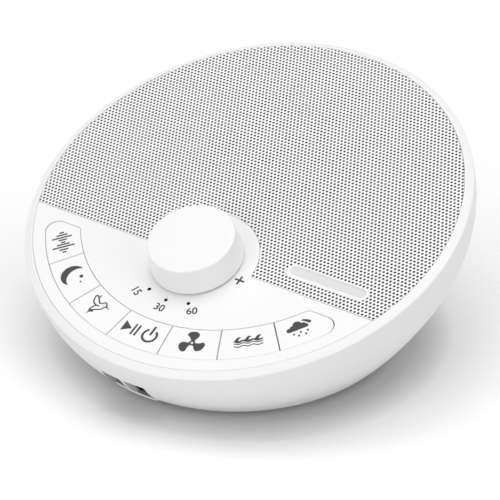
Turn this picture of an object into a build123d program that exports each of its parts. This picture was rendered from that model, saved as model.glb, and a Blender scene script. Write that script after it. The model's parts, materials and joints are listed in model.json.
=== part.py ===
from build123d import *
import os
from math import cos, hypot, radians, sin, sqrt, tan

# Bedside sound machine: a round bowl with a slanted flat top. The front faces -Y and +Z is up.
# Pieces of the top are drawn flat in the "deck" frame, whose origin is the centre of the top face,
# with +Z out of the top, and are then tilted into place. Everything is in millimetres.

# ---- whole body ----
BODY_RADIUS = 69.6          # widest radius of the bowl
RIM_WIDTH = 3.0             # from its edge to the panel and the grille
DECK_TILT = 21.0            # degrees that the top leans towards the front
WALL = 2.4                  # wall of the bowl
RIM_FLAT = 0.4              # level strip of the rim beside the panel and the grille
RIM_DROP = 1.1              # how far the rim falls from there to its edge
RIM_ROUND = 0.5             # round on that edge
SIDE_STRAIGHT = 3.2         # straight part of the side below the top
SHOULDER_RADIUS = 33.0      # upper arc of the side
SHOULDER_TURN = 31.0        # degrees that it turns through
BELLY_RADIUS = 180.0        # lower arc of the side
BELLY_TURN = 24.0           # the bottom cuts it off before its end
BASE_ROUND = 1.6            # round where the side meets the bottom

# ---- bottom ----
FOOT_RADIUS = 5.5
FOOT_HEIGHT = 1.6           # how far the feet stand out
FOOT_SINK = 1.0             # how deep they sit in the cover
FOOT_CHAMFER = 0.6
FOOT_INSET = 7.0            # from the cover's edge to a foot's centre
FOOT_COUNT = 4
COVER_MARGIN = 6.35         # from the bowl's bottom edge to the cover
COVER_THICKNESS = 2.2
COVER_CLEARANCE = 0.15
COVER_CHAMFER = 0.4
COVER_RIB_HEIGHT = 1.0
COVER_RIB_WIDTH = 1.2
COVER_RIB_ANGLES = (0.0, 60.0, 120.0)
COVER_RIB_GAP = 1.0         # from the ribs to the ledge
LIP_WIDTH = 3.0             # ledge that the cover sits against
LIP_THICKNESS = 1.2
BASE_SCREW_INSET = 3.5      # from the cover's edge to a screw's centre
BASE_SCREW_COUNT = 3
BASE_BOSS_RADIUS = 4.0
BASE_BOSS_HEIGHT = 11.0
BASE_BOSS_GAP = 0.5         # from the ribs to the bosses

# ---- screws ----
SCREW_RADIUS = 1.25
SCREW_HEAD_RADIUS = 2.3
SCREW_HEAD_HEIGHT = 1.5
SCREW_HEAD_CHAMFER = 0.5
SCREW_CLEARANCE = 0.25      # round the shank in the piece that is held
PILOT_CLEARANCE = 0.03      # round the shank in the piece that it bites
PILOT_SPARE = 0.3           # depth of a blind hole past the screw's tip
HEAD_CLEARANCE = 0.3        # round a sunk head
SOCKET_RADIUS = 0.9         # recess in the head
SOCKET_DEPTH = 0.8
OVERCUT = 1.0               # how far a cutting piece passes the face that it cuts
BASE_SCREW_LENGTH = 9.0
CHASSIS_SCREW_LENGTH = 5.0
PANEL_SCREW_LENGTH = 3.6
KEY_BOARD_SCREW_LENGTH = 4.6
SPEAKER_SCREW_LENGTH = 3.6
MAIN_BOARD_SCREW_LENGTH = 3.8

# ---- top: seam, panel and grille ----
SEAM = 0.25                 # gap to the rim and between panel and grille
PANEL_THICKNESS = 2.4
PANEL_LINE_OFFSET = 0.3     # from the knob's axis to the straight edge between panel and grille
LOBE_MARGIN = 4.5           # width of the panel's round lobe outside the knob
GRILLE_THICKNESS = 0.5
GRILLE_REST = 0.3           # height of the chassis rib that the grille lies on
GRILLE_REST_WIDTH = 1.4
BADGE_LENGTH = 28.0
BADGE_WIDTH = 5.2
BADGE_STAND = 0.5           # how far it stands out of the grille
BADGE_RIM = 0.7
BADGE_ROUND = 0.25
BADGE_DISH = 0.25           # depth of its face inside the rim
BADGE_CLEARANCE = 0.25      # to the cut-out in the grille
BADGE_SIDE_DISTANCE = 25.2  # from its centre to the grille's side
BADGE_LINE_DISTANCE = 7.1   # and to the panel's straight edge

# ---- chassis under the top ----
CHASSIS_PLATE = 2.2         # its thickness under the panel
CHASSIS_CLEARANCE = 0.3     # to the bowl
LEDGE_WIDTH = 3.3           # ledge in the bowl that it rests on
LEDGE_THICKNESS = 2.4
LUG_RADIUS = 4.2
LUG_INSET = 6.35            # from the bore round the panel to a lug's centre
LUG_ANGLES = (12.0, 62.0, 118.0, 168.0)
SLOT_FIRST_RADIUS = 4.5     # sound slots: rings about the speaker's centre
SLOT_WIDTH = 3.4
SLOT_PITCH = 6.0
SLOT_SPOKE = 2.0
SLOT_SPOKE_COUNT = 6
CHASSIS_RIB_WIDTH = 1.4
CHASSIS_RIB_HEIGHT = 2.4
CHASSIS_RIB_ANGLES = (0.0, 30.0, 150.0, 180.0)
CHASSIS_RIB_GAP = 1.0       # from the ribs to the speaker
KEY_ROOM = 0.6              # from the chassis to the keys' flanges
POT_ROOM = 0.5              # from the chassis to the volume control
LENS_ROOM = 0.55            # from the chassis to the light guides
PANEL_SCREW_GAP = 5.7       # from the keys to a screw's centre
PANEL_SCREW_ANGLES = (-51.5, -21.7, 21.7, 51.5)

# ---- keys ----
KEY_MARGIN = 3.9            # from the panel's edge to the keys
KEY_LENGTH = 11.0
KEY_END_DROP = 4.0          # from the panel's straight edge to the ends of the row of keys
KEY_END_OUTER_ROUND = 3.6
KEY_END_INNER_ROUND = 1.6
KEY_PITCH = 17.0            # degrees from key to key
KEY_GAP = 0.32
KEY_CLEARANCE = 0.16        # to the slot in the panel
KEY_FACE = 2.6
KEY_EDGE = 0.15
KEY_FLANGE_WIDTH = 0.8
KEY_FLANGE_THICKNESS = 1.0
KEY_STEM_RADIUS = 2.0
KEY_STEM_GAP = 0.3          # left over the switch case with the key pressed
KEY_TRAVEL = 0.5
KEY_NAMES = ("wave", "moon", "bird", "power", "fan", "ocean", "rain")

# ---- key board and switches ----
KEY_BOARD_DEPTH = 9.1       # its top face below the top of the panel
BOARD_THICKNESS = 1.6
KEY_BOARD_MARGIN = 5.6      # from the panel's edge to the board
KEY_BOARD_GAP = 2.0         # from its straight edge to the speaker
KEY_BOARD_ROOM = 0.35       # from its lowest corner to the roof of the ports
KEY_BOARD_POST_RADIUS = 2.7
KEY_BOARD_POST_ANGLE = 36.1     # front posts, on the circle of the panel's screws
KEY_BOARD_POST_SIDE = 20.0      # rear posts, from the board's side
KEY_BOARD_POST_BACK = 5.0       # and from its straight edge
SWITCH_SIZE = 6.0
SWITCH_HEIGHT = 3.5
SWITCH_CORNER = 0.5
WELL_DEPTH = 1.6            # hole in the switch case that the plunger slides in
PLUNGER_RADIUS = 1.7
PLUNGER_CLEARANCE = 0.06
PLUNGER_GAP = 0.2           # left under the plunger with the key pressed

# ---- timer lights ----
TIMER_GAP = 3.0             # from the knob to the lights
TIMER_ANGLES = (-24.5, 0.0, 24.5)
LENS_RADIUS = 0.55
LENS_CLEARANCE = 0.05
LED_LENGTH = 1.6
LED_WIDTH = 0.9
LED_HEIGHT = 0.7

# ---- knob and volume control ----
KNOB_TO_KEYS = 25.3         # from its axis to the keys
KNOB_BASE_RADIUS = 14.3
KNOB_TOP_RADIUS = 13.4
KNOB_HEIGHT = 9.2
KNOB_GAP = 0.4              # between knob and panel
KNOB_ROUND = 0.7
KNOB_FOOT_CHAMFER = 0.3
KNOB_WALL = 1.8
KNOB_ROOF = 1.8
KNOB_HUB_RADIUS = 5.0
KNOB_HUB_GAP = 3.1          # underside of the hub above the panel
KNOB_RIB_WIDTH = 1.2
KNOB_RIB_COUNT = 6
KNOB_RIB_LIFT = 1.0         # the ribs end this far above the hub's underside
POT_SIZE = 12.0
POT_CORNER = 1.0
POT_GAP = 0.2               # between its body and the panel
BUSH_RADIUS = 3.5
BUSH_CLEARANCE = 0.2
BUSH_HEIGHT = 2.8           # above the panel
SHAFT_RADIUS = 3.0
SHAFT_CLEARANCE = 0.05
SHAFT_FLAT = 1.5            # from the axis to the flat
SHAFT_HEIGHT = 7.2          # above the panel
SHAFT_END_GAP = 0.2         # from its end to the bottom of the knob's bore
SHAFT_DEPTH = 4.0           # into the body
WASHER_RADIUS = 5.6
WASHER_THICKNESS = 0.5
NUT_ACROSS = 10.0
NUT_THICKNESS = 1.9

# ---- speaker ----
SPEAKER_BACK_GAP = 10.6     # from its flange to the grille's back edge
SPEAKER_KNOB_GAP = 14.4     # and to the knob's axis
SPEAKER_FLANGE = 6.0        # width of the flat flange
SPEAKER_SCREW_COUNT = 4
GASKET_THICKNESS = 0.6
BASKET_SHEET = 1.0
BASKET_DEPTH = 16.0
BASKET_WINDOW_COUNT = 6
BASKET_WINDOW_WIDTH = 9.0
BASKET_WINDOW_FOOT = 1.5    # solid metal left beside the flat back
BASKET_WINDOW_LOW = 2.5     # and below and above each window
BASKET_WINDOW_HIGH = 0.5
PLATE_INSET = 1.0           # from the flat back's edge to the top plate
PLATE_THICKNESS = 3.0
MAGNET_OVERHANG = 3.0       # from the top plate's edge to the magnet's
MAGNET_BORE_GAP = 2.0       # from the top plate's hole to the magnet's
MAGNET_THICKNESS = 8.0
MAGNET_CHAMFER = 0.6
YOKE_THICKNESS = 3.0
COIL_RADIUS = 10.2
POLE_GAP = 0.7              # from the coil to the pole inside it
COIL_GAP = 0.8              # from the coil to the top plate round it
COIL_WALL = 0.5
COIL_DEPTH = 5.0            # into the magnet from the basket's back
COIL_HOLE_GAP = 1.0         # from the coil to the hole in the basket's back
CONE_NECK_HEIGHT = 3.0      # cone's neck in front of the basket's back
CONE_SHEET = 0.6
CONE_LIP_WIDTH = 1.2        # flat edge of the cone
CONE_LIP_DEPTH = 3.2        # cone's edge below the flange's front
CAP_HEIGHT = 3.4
CAP_SHEET = 0.5
CAP_STANDOFF = 1.5          # dust cap's foot up the cone
ROLL_RADIUS = 1.5
ROLL_WIDTH = 5.4            # from the cone to the basket's wall
ROLL_SHEET = 0.5
ROLL_SHELF = 1.4            # ledge in the basket that the surround is glued to
ROLL_CLEARANCE = 0.1        # to the basket's wall
CONE_CLEARANCE = 0.3        # from the moving cone and coil to the surround and spider
SPIDER_SHEET = 0.5
SPIDER_WAVE = 0.8
SPIDER_RIPPLES = 4
SPIDER_WIDTH = 6.8          # from the coil to the flat back's edge
SPIDER_RIM = 1.2            # flat edge glued to the basket
SPIDER_CLEARANCE = 0.4      # to the basket's side

# ---- ports and main board ----
PORT_WIDTH = 7.6
PORT_DROP = 4.1             # from the sockets' axis to the window's lower edge
PORT_RISE = 4.2             # and to its upper edge
PORT_ROUND = 0.8
PORT_DEPTH = 10.3           # from the bowl's outside to the recess's back wall
PORT_WALL = 1.4
JACK_X = -6.1
USB_X = 2.6
PORT_FIT = 0.3              # round the sockets in the back wall
SOCKET_INSET = 0.1          # from the back wall's faces to the sockets
JACK_NOSE_RADIUS = 3.0
JACK_WIDTH = 6.4
JACK_HEIGHT = 5.0
JACK_LENGTH = 12.5
JACK_CORNER = 0.5
JACK_BORE = 1.8
JACK_BORE_LENGTH = 11.0
USB_WIDTH = 7.5
USB_HEIGHT = 2.7
USB_LENGTH = 6.0
USB_SHEET = 0.3
USB_CORNER = 1.0            # cut off its lower corners
TONGUE_WIDTH = 4.6
TONGUE_THICKNESS = 0.8
TONGUE_LENGTH = 4.4
TONGUE_RISE = 0.5           # its top above the socket's axis
MAIN_BOARD_LIFT = 0.95      # above the ledge round the cover
MAIN_BOARD_WIDTH = 40.0
MAIN_BOARD_NOSE_WIDTH = 20.0
# along the board, places are measured from the face of the recess's back wall
MAIN_BOARD_STEP = 9.9       # behind this the board is wider
MAIN_BOARD_REACH = 33.9     # its rear edge
MAIN_BOARD_SCREW_INSET = 4.0    # from the board's sides
MAIN_BOARD_SCREW_ROWS = (17.9, 29.4)
MAIN_BOARD_POST_RADIUS = 2.6
BOARD_CLEARANCE = 0.4
CHIP_LEG = 0.15             # half the legs' thickness
CHIP_LEG_REACH = 0.7        # how far the legs stand out
CHIP_LEG_MARGIN = 0.3
AMPLIFIER_SIZE = (5.0, 6.2, 1.5)
AMPLIFIER_PLACE = (4.5, 18.9)
SOUND_CHIP_SIZE = (7.0, 7.0, 1.0)
SOUND_CHIP_PLACE = (-6.5, 24.9)
CAPACITOR_RADIUS = 3.15
CAPACITOR_HEIGHT = 7.7
CAPACITOR_CHAMFER = 0.4
CAPACITOR_INSETS = (17.0, 10.0)     # from the board's side
CAPACITOR_ROW = 28.9
CONNECTOR_SIZE = (7.4, 4.6, 5.0)
CONNECTOR_WALL = 0.7
CONNECTOR_FLOOR = 1.0
CONNECTOR_PLACES = ((-15.0, 22.9), (14.0, 22.9))

# ---- wires ----
WIRE_GAP = 0.05             # from a wire's end to the header's floor
LEAD_RADIUS = 0.6
LEAD_SPACING = 2.4
LEAD_DROP = 6.0             # straight run out of the tag strip
LEAD_BEND_SHARE = 0.45      # share of the shorter run that a bend takes
LEAD_ROUTE = ((3.0, -11.0, 20.0), (9.5, -19.0, 21.0))
LEAD_HEADER_HEIGHT = 17.5   # where the leads turn down over their header
RIBBON_WIDTH = 5.2
RIBBON_THICKNESS = 0.4
RIBBON_DROP = 3.2           # straight run out of the key board
RIBBON_BULGE = 4.5          # how far it bows towards the back
RIBBON_BEND = 1.5
TERMINAL_WIDTH = 9.0
TERMINAL_THICKNESS = 1.2
TERMINAL_LENGTH = 6.0
TERMINAL_CORNER = 1.0

# ---- worked out: the top ----
TILT_COS = cos(radians(DECK_TILT))
TILT_SIN = sin(radians(DECK_TILT))
DECK_RADIUS = BODY_RADIUS - RIM_WIDTH       # panel and grille together
LUG_CIRCLE = DECK_RADIUS + SEAM - LUG_INSET
KEY_OUTER = DECK_RADIUS - KEY_MARGIN
KEY_INNER = KEY_OUTER - KEY_LENGTH
KEY_MIDDLE = (KEY_OUTER + KEY_INNER) / 2
KNOB_Y = KNOB_TO_KEYS - KEY_INNER
LOBE_RADIUS = KNOB_BASE_RADIUS + LOBE_MARGIN
TIMER_CIRCLE = KNOB_BASE_RADIUS + TIMER_GAP
PANEL_LINE = KNOB_Y + PANEL_LINE_OFFSET
PANEL_SCREW_CIRCLE = KEY_INNER - PANEL_SCREW_GAP
KEY_END_LINE = PANEL_LINE - KEY_END_DROP
BADGE_CENTRE = (DECK_RADIUS - BADGE_SIDE_DISTANCE, PANEL_LINE + BADGE_LINE_DISTANCE)
CHASSIS_TOP = -PANEL_THICKNESS
CHASSIS_BOTTOM = CHASSIS_TOP - CHASSIS_PLATE
CHASSIS_SCREW_SEAT = CHASSIS_BOTTOM - LEDGE_THICKNESS
SOUND_PLATE_TOP = -GRILLE_THICKNESS - GRILLE_REST
BOARD_TOP = -KEY_BOARD_DEPTH
BOARD_BOTTOM = BOARD_TOP - BOARD_THICKNESS
SWITCH_TOP = BOARD_TOP + SWITCH_HEIGHT
FLANGE_BOTTOM = -KEY_FACE - KEY_FLANGE_THICKNESS
STEM_BOTTOM = SWITCH_TOP + KEY_TRAVEL + KEY_STEM_GAP

# ---- worked out: the speaker, which fills the room between the knob and the back ----
SPEAKER_FRONT = KNOB_Y + SPEAKER_KNOB_GAP
SPEAKER_BACK = DECK_RADIUS - SPEAKER_BACK_GAP
SPEAKER_Y = (SPEAKER_FRONT + SPEAKER_BACK) / 2
SPEAKER_RADIUS = (SPEAKER_BACK - SPEAKER_FRONT) / 2
SPEAKER_SCREW_CIRCLE = SPEAKER_RADIUS - SPEAKER_FLANGE / 2
SPEAKER_SCREW_SEAT = CHASSIS_BOTTOM - GASKET_THICKNESS - BASKET_SHEET
TERMINAL_NEAR = SPEAKER_RADIUS - SPEAKER_FLANGE / 2
BASKET_MOUTH = SPEAKER_RADIUS - SPEAKER_FLANGE - BASKET_SHEET   # inner radius behind the flange
CONE_RADIUS = BASKET_MOUTH - ROLL_WIDTH
CONE_NECK = -BASKET_DEPTH + CONE_NECK_HEIGHT
BASKET_BACK_RADIUS = COIL_RADIUS + SPIDER_WIDTH
POLE_RADIUS = COIL_RADIUS - COIL_WALL - POLE_GAP
GAP_RADIUS = COIL_RADIUS + COIL_GAP         # hole in the top plate
PLATE_RADIUS = BASKET_BACK_RADIUS - PLATE_INSET
MAGNET_RADIUS = PLATE_RADIUS + MAGNET_OVERHANG
MAGNET_BORE = GAP_RADIUS + MAGNET_BORE_GAP
KEY_BOARD_EDGE = SPEAKER_FRONT - KEY_BOARD_GAP
KEY_BOARD_RADIUS = DECK_RADIUS - KEY_BOARD_MARGIN

# ---- worked out: heights, from the table up to the top ----
BASE_BOTTOM = FOOT_HEIGHT
COVER_TOP = BASE_BOTTOM + COVER_THICKNESS
BASE_SCREW_SEAT = BASE_BOTTOM + SCREW_HEAD_HEIGHT
LIP_TOP = COVER_TOP + LIP_THICKNESS
MAIN_BOARD_BOTTOM = LIP_TOP + MAIN_BOARD_LIFT
MAIN_BOARD_TOP = MAIN_BOARD_BOTTOM + BOARD_THICKNESS
WIRE_END = MAIN_BOARD_TOP + CONNECTOR_FLOOR + WIRE_GAP
SOCKET_AXIS_HEIGHT = MAIN_BOARD_TOP + USB_HEIGHT / 2
PORT_BOTTOM = SOCKET_AXIS_HEIGHT - PORT_DROP
PORT_TOP = SOCKET_AXIS_HEIGHT + PORT_RISE
KEY_BOARD_CORNER = PORT_TOP + PORT_WALL + KEY_BOARD_ROOM
DECK_HEIGHT = KEY_BOARD_CORNER + KEY_BOARD_RADIUS * TILT_SIN - BOARD_BOTTOM * TILT_COS

# ---- worked out: the bowl ----
SHOULDER_CENTRE_R = BODY_RADIUS - SHOULDER_RADIUS
BELLY_CENTRE_R = SHOULDER_CENTRE_R - (BELLY_RADIUS - SHOULDER_RADIUS) * cos(radians(SHOULDER_TURN))
BELLY_CENTRE_Z = -SIDE_STRAIGHT + (BELLY_RADIUS - SHOULDER_RADIUS) * sin(radians(SHOULDER_TURN))
RIM_INNER = DECK_RADIUS + SEAM + RIM_FLAT
RIM_SLOPE = hypot(BODY_RADIUS - RIM_INNER, RIM_DROP)
RIM_CENTRE_R = BODY_RADIUS - RIM_ROUND      # centre of the round on the rim's edge
RIM_CENTRE_Z = -RIM_DROP - RIM_ROUND * (RIM_SLOPE - RIM_DROP) / (BODY_RADIUS - RIM_INNER)
BACK_REACH = SHOULDER_CENTRE_R * TILT_COS + SIDE_STRAIGHT * TILT_SIN + SHOULDER_RADIUS
FRONT_REACH = RIM_CENTRE_R * TILT_COS + RIM_CENTRE_Z * TILT_SIN + RIM_ROUND
DECK_Y = (FRONT_REACH - BACK_REACH) / 2     # puts the origin midway between front and back
DECK = Plane(origin=(0, DECK_Y, DECK_HEIGHT), x_dir=(1, 0, 0), z_dir=(0, -TILT_SIN, TILT_COS))


def belly_y(side, height):
    """Where the bowl's outside crosses the plane x = 0 at a height: side is -1 in front, 1 behind."""
    centre_y = DECK_Y + side * BELLY_CENTRE_R * TILT_COS - BELLY_CENTRE_Z * TILT_SIN
    centre_z = DECK_HEIGHT + side * BELLY_CENTRE_R * TILT_SIN + BELLY_CENTRE_Z * TILT_COS
    return centre_y + side * sqrt(BELLY_RADIUS ** 2 - (height - centre_z) ** 2)


COVER_RADIUS = min(-belly_y(-1, BASE_BOTTOM), belly_y(1, BASE_BOTTOM)) - COVER_MARGIN
FOOT_CIRCLE = COVER_RADIUS - FOOT_INSET
BASE_SCREW_CIRCLE = COVER_RADIUS - BASE_SCREW_INSET
PORT_BACK = belly_y(-1, SOCKET_AXIS_HEIGHT) + PORT_DEPTH    # face of the recess's back wall
PORT_WALL_BACK = PORT_BACK + PORT_WALL


# ---- helpers ----
def tube(radius, bottom, top, x=0.0, y=0.0):
    """Solid cylinder between two heights."""
    return Pos(x, y, bottom) * Cylinder(radius, top - bottom, align=(Align.CENTER, Align.CENTER, Align.MIN))


def block(x_low, x_high, y_low, y_high, z_low, z_high):
    """Solid box between two corners."""
    size = (x_high - x_low, y_high - y_low, z_high - z_low)
    return Pos(x_low, y_low, z_low) * Box(*size, align=(Align.MIN, Align.MIN, Align.MIN))


def slab(sketch, bottom, top):
    """A flat outline made into a plate between two heights."""
    return Pos(0, 0, bottom) * extrude(sketch, top - bottom, dir=(0, 0, 1))


def spin(points):
    """A closed outline of (radius, height) points turned about the Z axis."""
    face = make_face(Polyline([(r, 0, z) for r, z in points], close=True))
    return revolve(face, Axis.Z)


def polar(radius, angle):
    """Point at an angle in degrees from +X."""
    return radius * cos(radians(angle)), radius * sin(radians(angle))


def from_front(radius, angle):
    """Point at an angle in degrees from the front, positive towards +X."""
    return radius * sin(radians(angle)), -radius * cos(radians(angle))


def tilted(part):
    """Moves a piece from the deck frame to its place."""
    return DECK.location * part


def sum_of(parts):
    """Several pieces fused into one."""
    whole = parts[0]
    for part in parts[1:]:
        whole += part
    return whole


def screw(length):
    """Screw whose head sits on z = 0 and whose shank points up."""
    cap = tube(SCREW_HEAD_RADIUS, -SCREW_HEAD_HEIGHT, 0)
    cap = chamfer(cap.edges().group_by(Axis.Z)[0], SCREW_HEAD_CHAMFER)
    recess = slab(RegularPolygon(SOCKET_RADIUS, 6), -SCREW_HEAD_HEIGHT, SOCKET_DEPTH - SCREW_HEAD_HEIGHT)
    return cap + tube(SCREW_RADIUS, 0, length) - recess


def pilot_hole(seat, length, x, y):
    """Blind hole that a screw bites in, measured from the seat of its head."""
    return tube(SCREW_RADIUS + PILOT_CLEARANCE, seat, seat + length + PILOT_SPARE, x, y)


def through_hole(bottom, top, x, y):
    """Hole with room round a screw's shank."""
    return tube(SCREW_RADIUS + SCREW_CLEARANCE, bottom - OVERCUT, top + OVERCUT, x, y)


def save(name, *shapes):
    """Writes one node; several shapes stay separate solids."""
    solids = [solid for shape in shapes for solid in shape.solids()]
    node = solids[0] if len(solids) == 1 else Compound(children=solids)
    export_step(node, "parts/" + name + ".step")


# ---- bowl ----
def bowl(inset):
    """Solid inside the bowl's side, in the deck frame, its surface moved inwards by inset."""
    shoulder = SHOULDER_RADIUS - inset
    belly = BELLY_RADIUS - inset
    turn = radians(SHOULDER_TURN)
    end = radians(SHOULDER_TURN + BELLY_TURN)

    def on_shoulder(angle):
        return SHOULDER_CENTRE_R + shoulder * cos(angle), 0, -SIDE_STRAIGHT - shoulder * sin(angle)

    def on_belly(angle):
        return BELLY_CENTRE_R + belly * cos(angle), 0, BELLY_CENTRE_Z - belly * sin(angle)

    top = (BODY_RADIUS - inset, 0, 0)
    bottom = on_belly(end)
    outline = [
        Line((0, 0, 0), top),
        Line(top, on_shoulder(0)),
        ThreePointArc(on_shoulder(0), on_shoulder(turn / 2), on_shoulder(turn)),
        ThreePointArc(on_belly(turn), on_belly((turn + end) / 2), bottom),
        Line(bottom, (0, 0, bottom[2])),
        Line((0, 0, bottom[2]), (0, 0, 0)),
    ]
    return revolve(make_face(Wire(outline)), Axis.Z)


def port_windows():
    """The two recesses at the front, one for each socket."""
    windows = []
    half = PORT_WIDTH / 2
    for x in (JACK_X, USB_X):
        window = block(x - half, x + half, -BODY_RADIUS, PORT_BACK, PORT_BOTTOM, PORT_TOP)
        windows.append(fillet(window.edges().filter_by(Axis.Y), PORT_ROUND))
    return windows


def socket_holes():
    """Holes in the recesses' back wall that the sockets look through."""
    front = PORT_BACK - OVERCUT
    back = PORT_WALL_BACK + OVERCUT
    nose = Plane((JACK_X, front, SOCKET_AXIS_HEIGHT), x_dir=(1, 0, 0), z_dir=(0, 1, 0))
    jack = extrude(nose * Circle(JACK_NOSE_RADIUS + PORT_FIT), back - front)
    half_width = USB_WIDTH / 2 + PORT_FIT
    half_height = USB_HEIGHT / 2 + PORT_FIT
    usb = block(USB_X - half_width, USB_X + half_width, front, back,
                SOCKET_AXIS_HEIGHT - half_height, SOCKET_AXIS_HEIGHT + half_height)
    return jack, usb


def base_screw_places():
    return [polar(BASE_SCREW_CIRCLE, 90 + k * 360 / BASE_SCREW_COUNT) for k in range(BASE_SCREW_COUNT)]


def foot_places():
    return [polar(FOOT_CIRCLE, 45 + k * 360 / FOOT_COUNT) for k in range(FOOT_COUNT)]


def chassis_screw_places():
    return [polar(LUG_CIRCLE, angle) for angle in LUG_ANGLES]


def panel_screw_places():
    return [from_front(PANEL_SCREW_CIRCLE, angle) for angle in PANEL_SCREW_ANGLES]


def key_board_post_places():
    front = [from_front(PANEL_SCREW_CIRCLE, side * KEY_BOARD_POST_ANGLE) for side in (-1, 1)]
    rear_x = KEY_BOARD_RADIUS - KEY_BOARD_POST_SIDE
    rear_y = KEY_BOARD_EDGE - KEY_BOARD_POST_BACK
    return front + [(-rear_x, rear_y), (rear_x, rear_y)]


def on_main_board(places):
    """Turns distances behind the recess's back wall into places in the whole model."""
    return [(x, PORT_BACK + back) for x, back in places]


def main_board_screw_places():
    x = MAIN_BOARD_WIDTH / 2 - MAIN_BOARD_SCREW_INSET
    return on_main_board([(side * x, row) for row in MAIN_BOARD_SCREW_ROWS for side in (-1, 1)])


def body_shell():
    far = 2 * BODY_RADIUS
    above_bottom = block(-far, far, -far, far, BASE_BOTTOM, far)
    above_lip = block(-far, far, -far, far, LIP_TOP, far)

    beyond = 2 * BODY_RADIUS - RIM_INNER
    outside = bowl(0) - spin([(RIM_INNER, 0), (beyond, 0), (beyond, -2 * RIM_DROP)])
    outside = fillet(outside.edges().filter_by(GeomType.CIRCLE).group_by(Axis.Z)[-2], RIM_ROUND)
    outside = tilted(outside) & above_bottom
    outside = fillet(outside.edges().group_by(Axis.Z)[0], BASE_ROUND)

    ledge_top = CHASSIS_BOTTOM
    ledge_bottom = CHASSIS_BOTTOM - LEDGE_THICKNESS
    bore = DECK_RADIUS + SEAM
    well = tube(bore, ledge_top, OVERCUT) + tube(bore - LEDGE_WIDTH, ledge_bottom - OVERCUT, ledge_top)
    hollow = bowl(WALL) & tube(far, -far, ledge_bottom)
    shell = outside - (tilted(hollow) & above_lip) - tilted(well)

    # ledge lugs that the chassis screws pass through
    for place, angle in zip(chassis_screw_places(), LUG_ANGLES):
        arm = Rot(0, 0, angle) * block(LUG_CIRCLE, bore, -LUG_RADIUS, LUG_RADIUS, ledge_bottom, ledge_top)
        lug = arm + tube(LUG_RADIUS, ledge_bottom, ledge_top, *place)
        shell += tilted(lug - through_hole(ledge_bottom, ledge_top, *place))

    # bosses for the base screws
    for x, y in base_screw_places():
        shell += tube(BASE_BOSS_RADIUS, COVER_TOP, COVER_TOP + BASE_BOSS_HEIGHT, x, y)

    # walls of the port recesses, kept inside the bowl
    left = JACK_X - PORT_WIDTH / 2 - PORT_WALL
    right = USB_X + PORT_WIDTH / 2 + PORT_WALL
    walls = block(left, right, -BODY_RADIUS, PORT_WALL_BACK, BASE_BOTTOM, PORT_TOP + PORT_WALL)
    shell += walls & outside

    # bottom opening with its ledge
    bosses = [tube(BASE_BOSS_RADIUS, COVER_TOP, LIP_TOP + OVERCUT, x, y) for x, y in base_screw_places()]
    shell -= tube(COVER_RADIUS - LIP_WIDTH, BASE_BOTTOM - OVERCUT, LIP_TOP) - sum_of(bosses)
    shell -= tube(COVER_RADIUS + COVER_CLEARANCE, BASE_BOTTOM - OVERCUT, COVER_TOP)
    for x, y in base_screw_places():
        shell -= pilot_hole(BASE_SCREW_SEAT, BASE_SCREW_LENGTH, x, y)
    for cut in port_windows() + list(socket_holes()):
        shell -= cut
    return shell


# ---- bottom pieces ----
def base_cover():
    rib_top = COVER_TOP + COVER_RIB_HEIGHT
    cover = tube(COVER_RADIUS, BASE_BOTTOM, COVER_TOP)
    cover = chamfer(cover.edges().group_by(Axis.Z)[0], COVER_CHAMFER)
    rib_outer = COVER_RADIUS - LIP_WIDTH - COVER_RIB_GAP
    half = COVER_RIB_WIDTH / 2
    for angle in COVER_RIB_ANGLES:
        cover += Rot(0, 0, angle) * block(-rib_outer, rib_outer, -half, half, COVER_TOP, rib_top)
    cover += tube(rib_outer, COVER_TOP, rib_top) - tube(rib_outer - COVER_RIB_WIDTH, COVER_TOP, rib_top)
    for x, y in base_screw_places():
        cover -= tube(BASE_BOSS_RADIUS + BASE_BOSS_GAP, COVER_TOP, rib_top, x, y)
        cover -= through_hole(BASE_BOTTOM, COVER_TOP, x, y)
        cover -= tube(SCREW_HEAD_RADIUS + HEAD_CLEARANCE, BASE_BOTTOM - OVERCUT, BASE_SCREW_SEAT, x, y)
    for x, y in foot_places():
        cover -= tube(FOOT_RADIUS, BASE_BOTTOM - OVERCUT, BASE_BOTTOM + FOOT_SINK, x, y)
    for x, y in main_board_screw_places():
        cover += tube(MAIN_BOARD_POST_RADIUS, COVER_TOP, MAIN_BOARD_BOTTOM, x, y)
        tip = MAIN_BOARD_TOP - MAIN_BOARD_SCREW_LENGTH - PILOT_SPARE
        cover -= tube(SCREW_RADIUS + PILOT_CLEARANCE, tip, MAIN_BOARD_TOP, x, y)
    return cover


def foot_pads():
    pads = []
    for x, y in foot_places():
        pad = tube(FOOT_RADIUS, 0, BASE_BOTTOM + FOOT_SINK, x, y)
        pads.append(chamfer(pad.edges().group_by(Axis.Z)[0], FOOT_CHAMFER))
    return pads


def base_screws():
    return [Pos(x, y, BASE_SCREW_SEAT) * screw(BASE_SCREW_LENGTH) for x, y in base_screw_places()]


# ---- outlines of the top ----
def half_plane(line, above=True):
    """Large rectangle on one side of a line of constant y."""
    far = 4 * BODY_RADIUS
    centre = line + far / 2 if above else line - far / 2
    return Pos(0, centre) * Rectangle(far, far)


def panel_outline():
    disc = Circle(DECK_RADIUS)
    return (disc & half_plane(PANEL_LINE, above=False)) + Pos(0, KNOB_Y) * Circle(LOBE_RADIUS)


def grille_outline(inset=0.0):
    """The rest of the top, a seam away from the panel."""
    disc = Circle(DECK_RADIUS - inset)
    above = disc & half_plane(PANEL_LINE + SEAM + inset)
    return above - Pos(0, KNOB_Y) * Circle(LOBE_RADIUS + SEAM + inset)


def badge_outline(inset=0.0):
    length = BADGE_LENGTH - 2 * inset
    return Pos(*BADGE_CENTRE) * SlotOverall(length, BADGE_WIDTH - 2 * inset)


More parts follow.
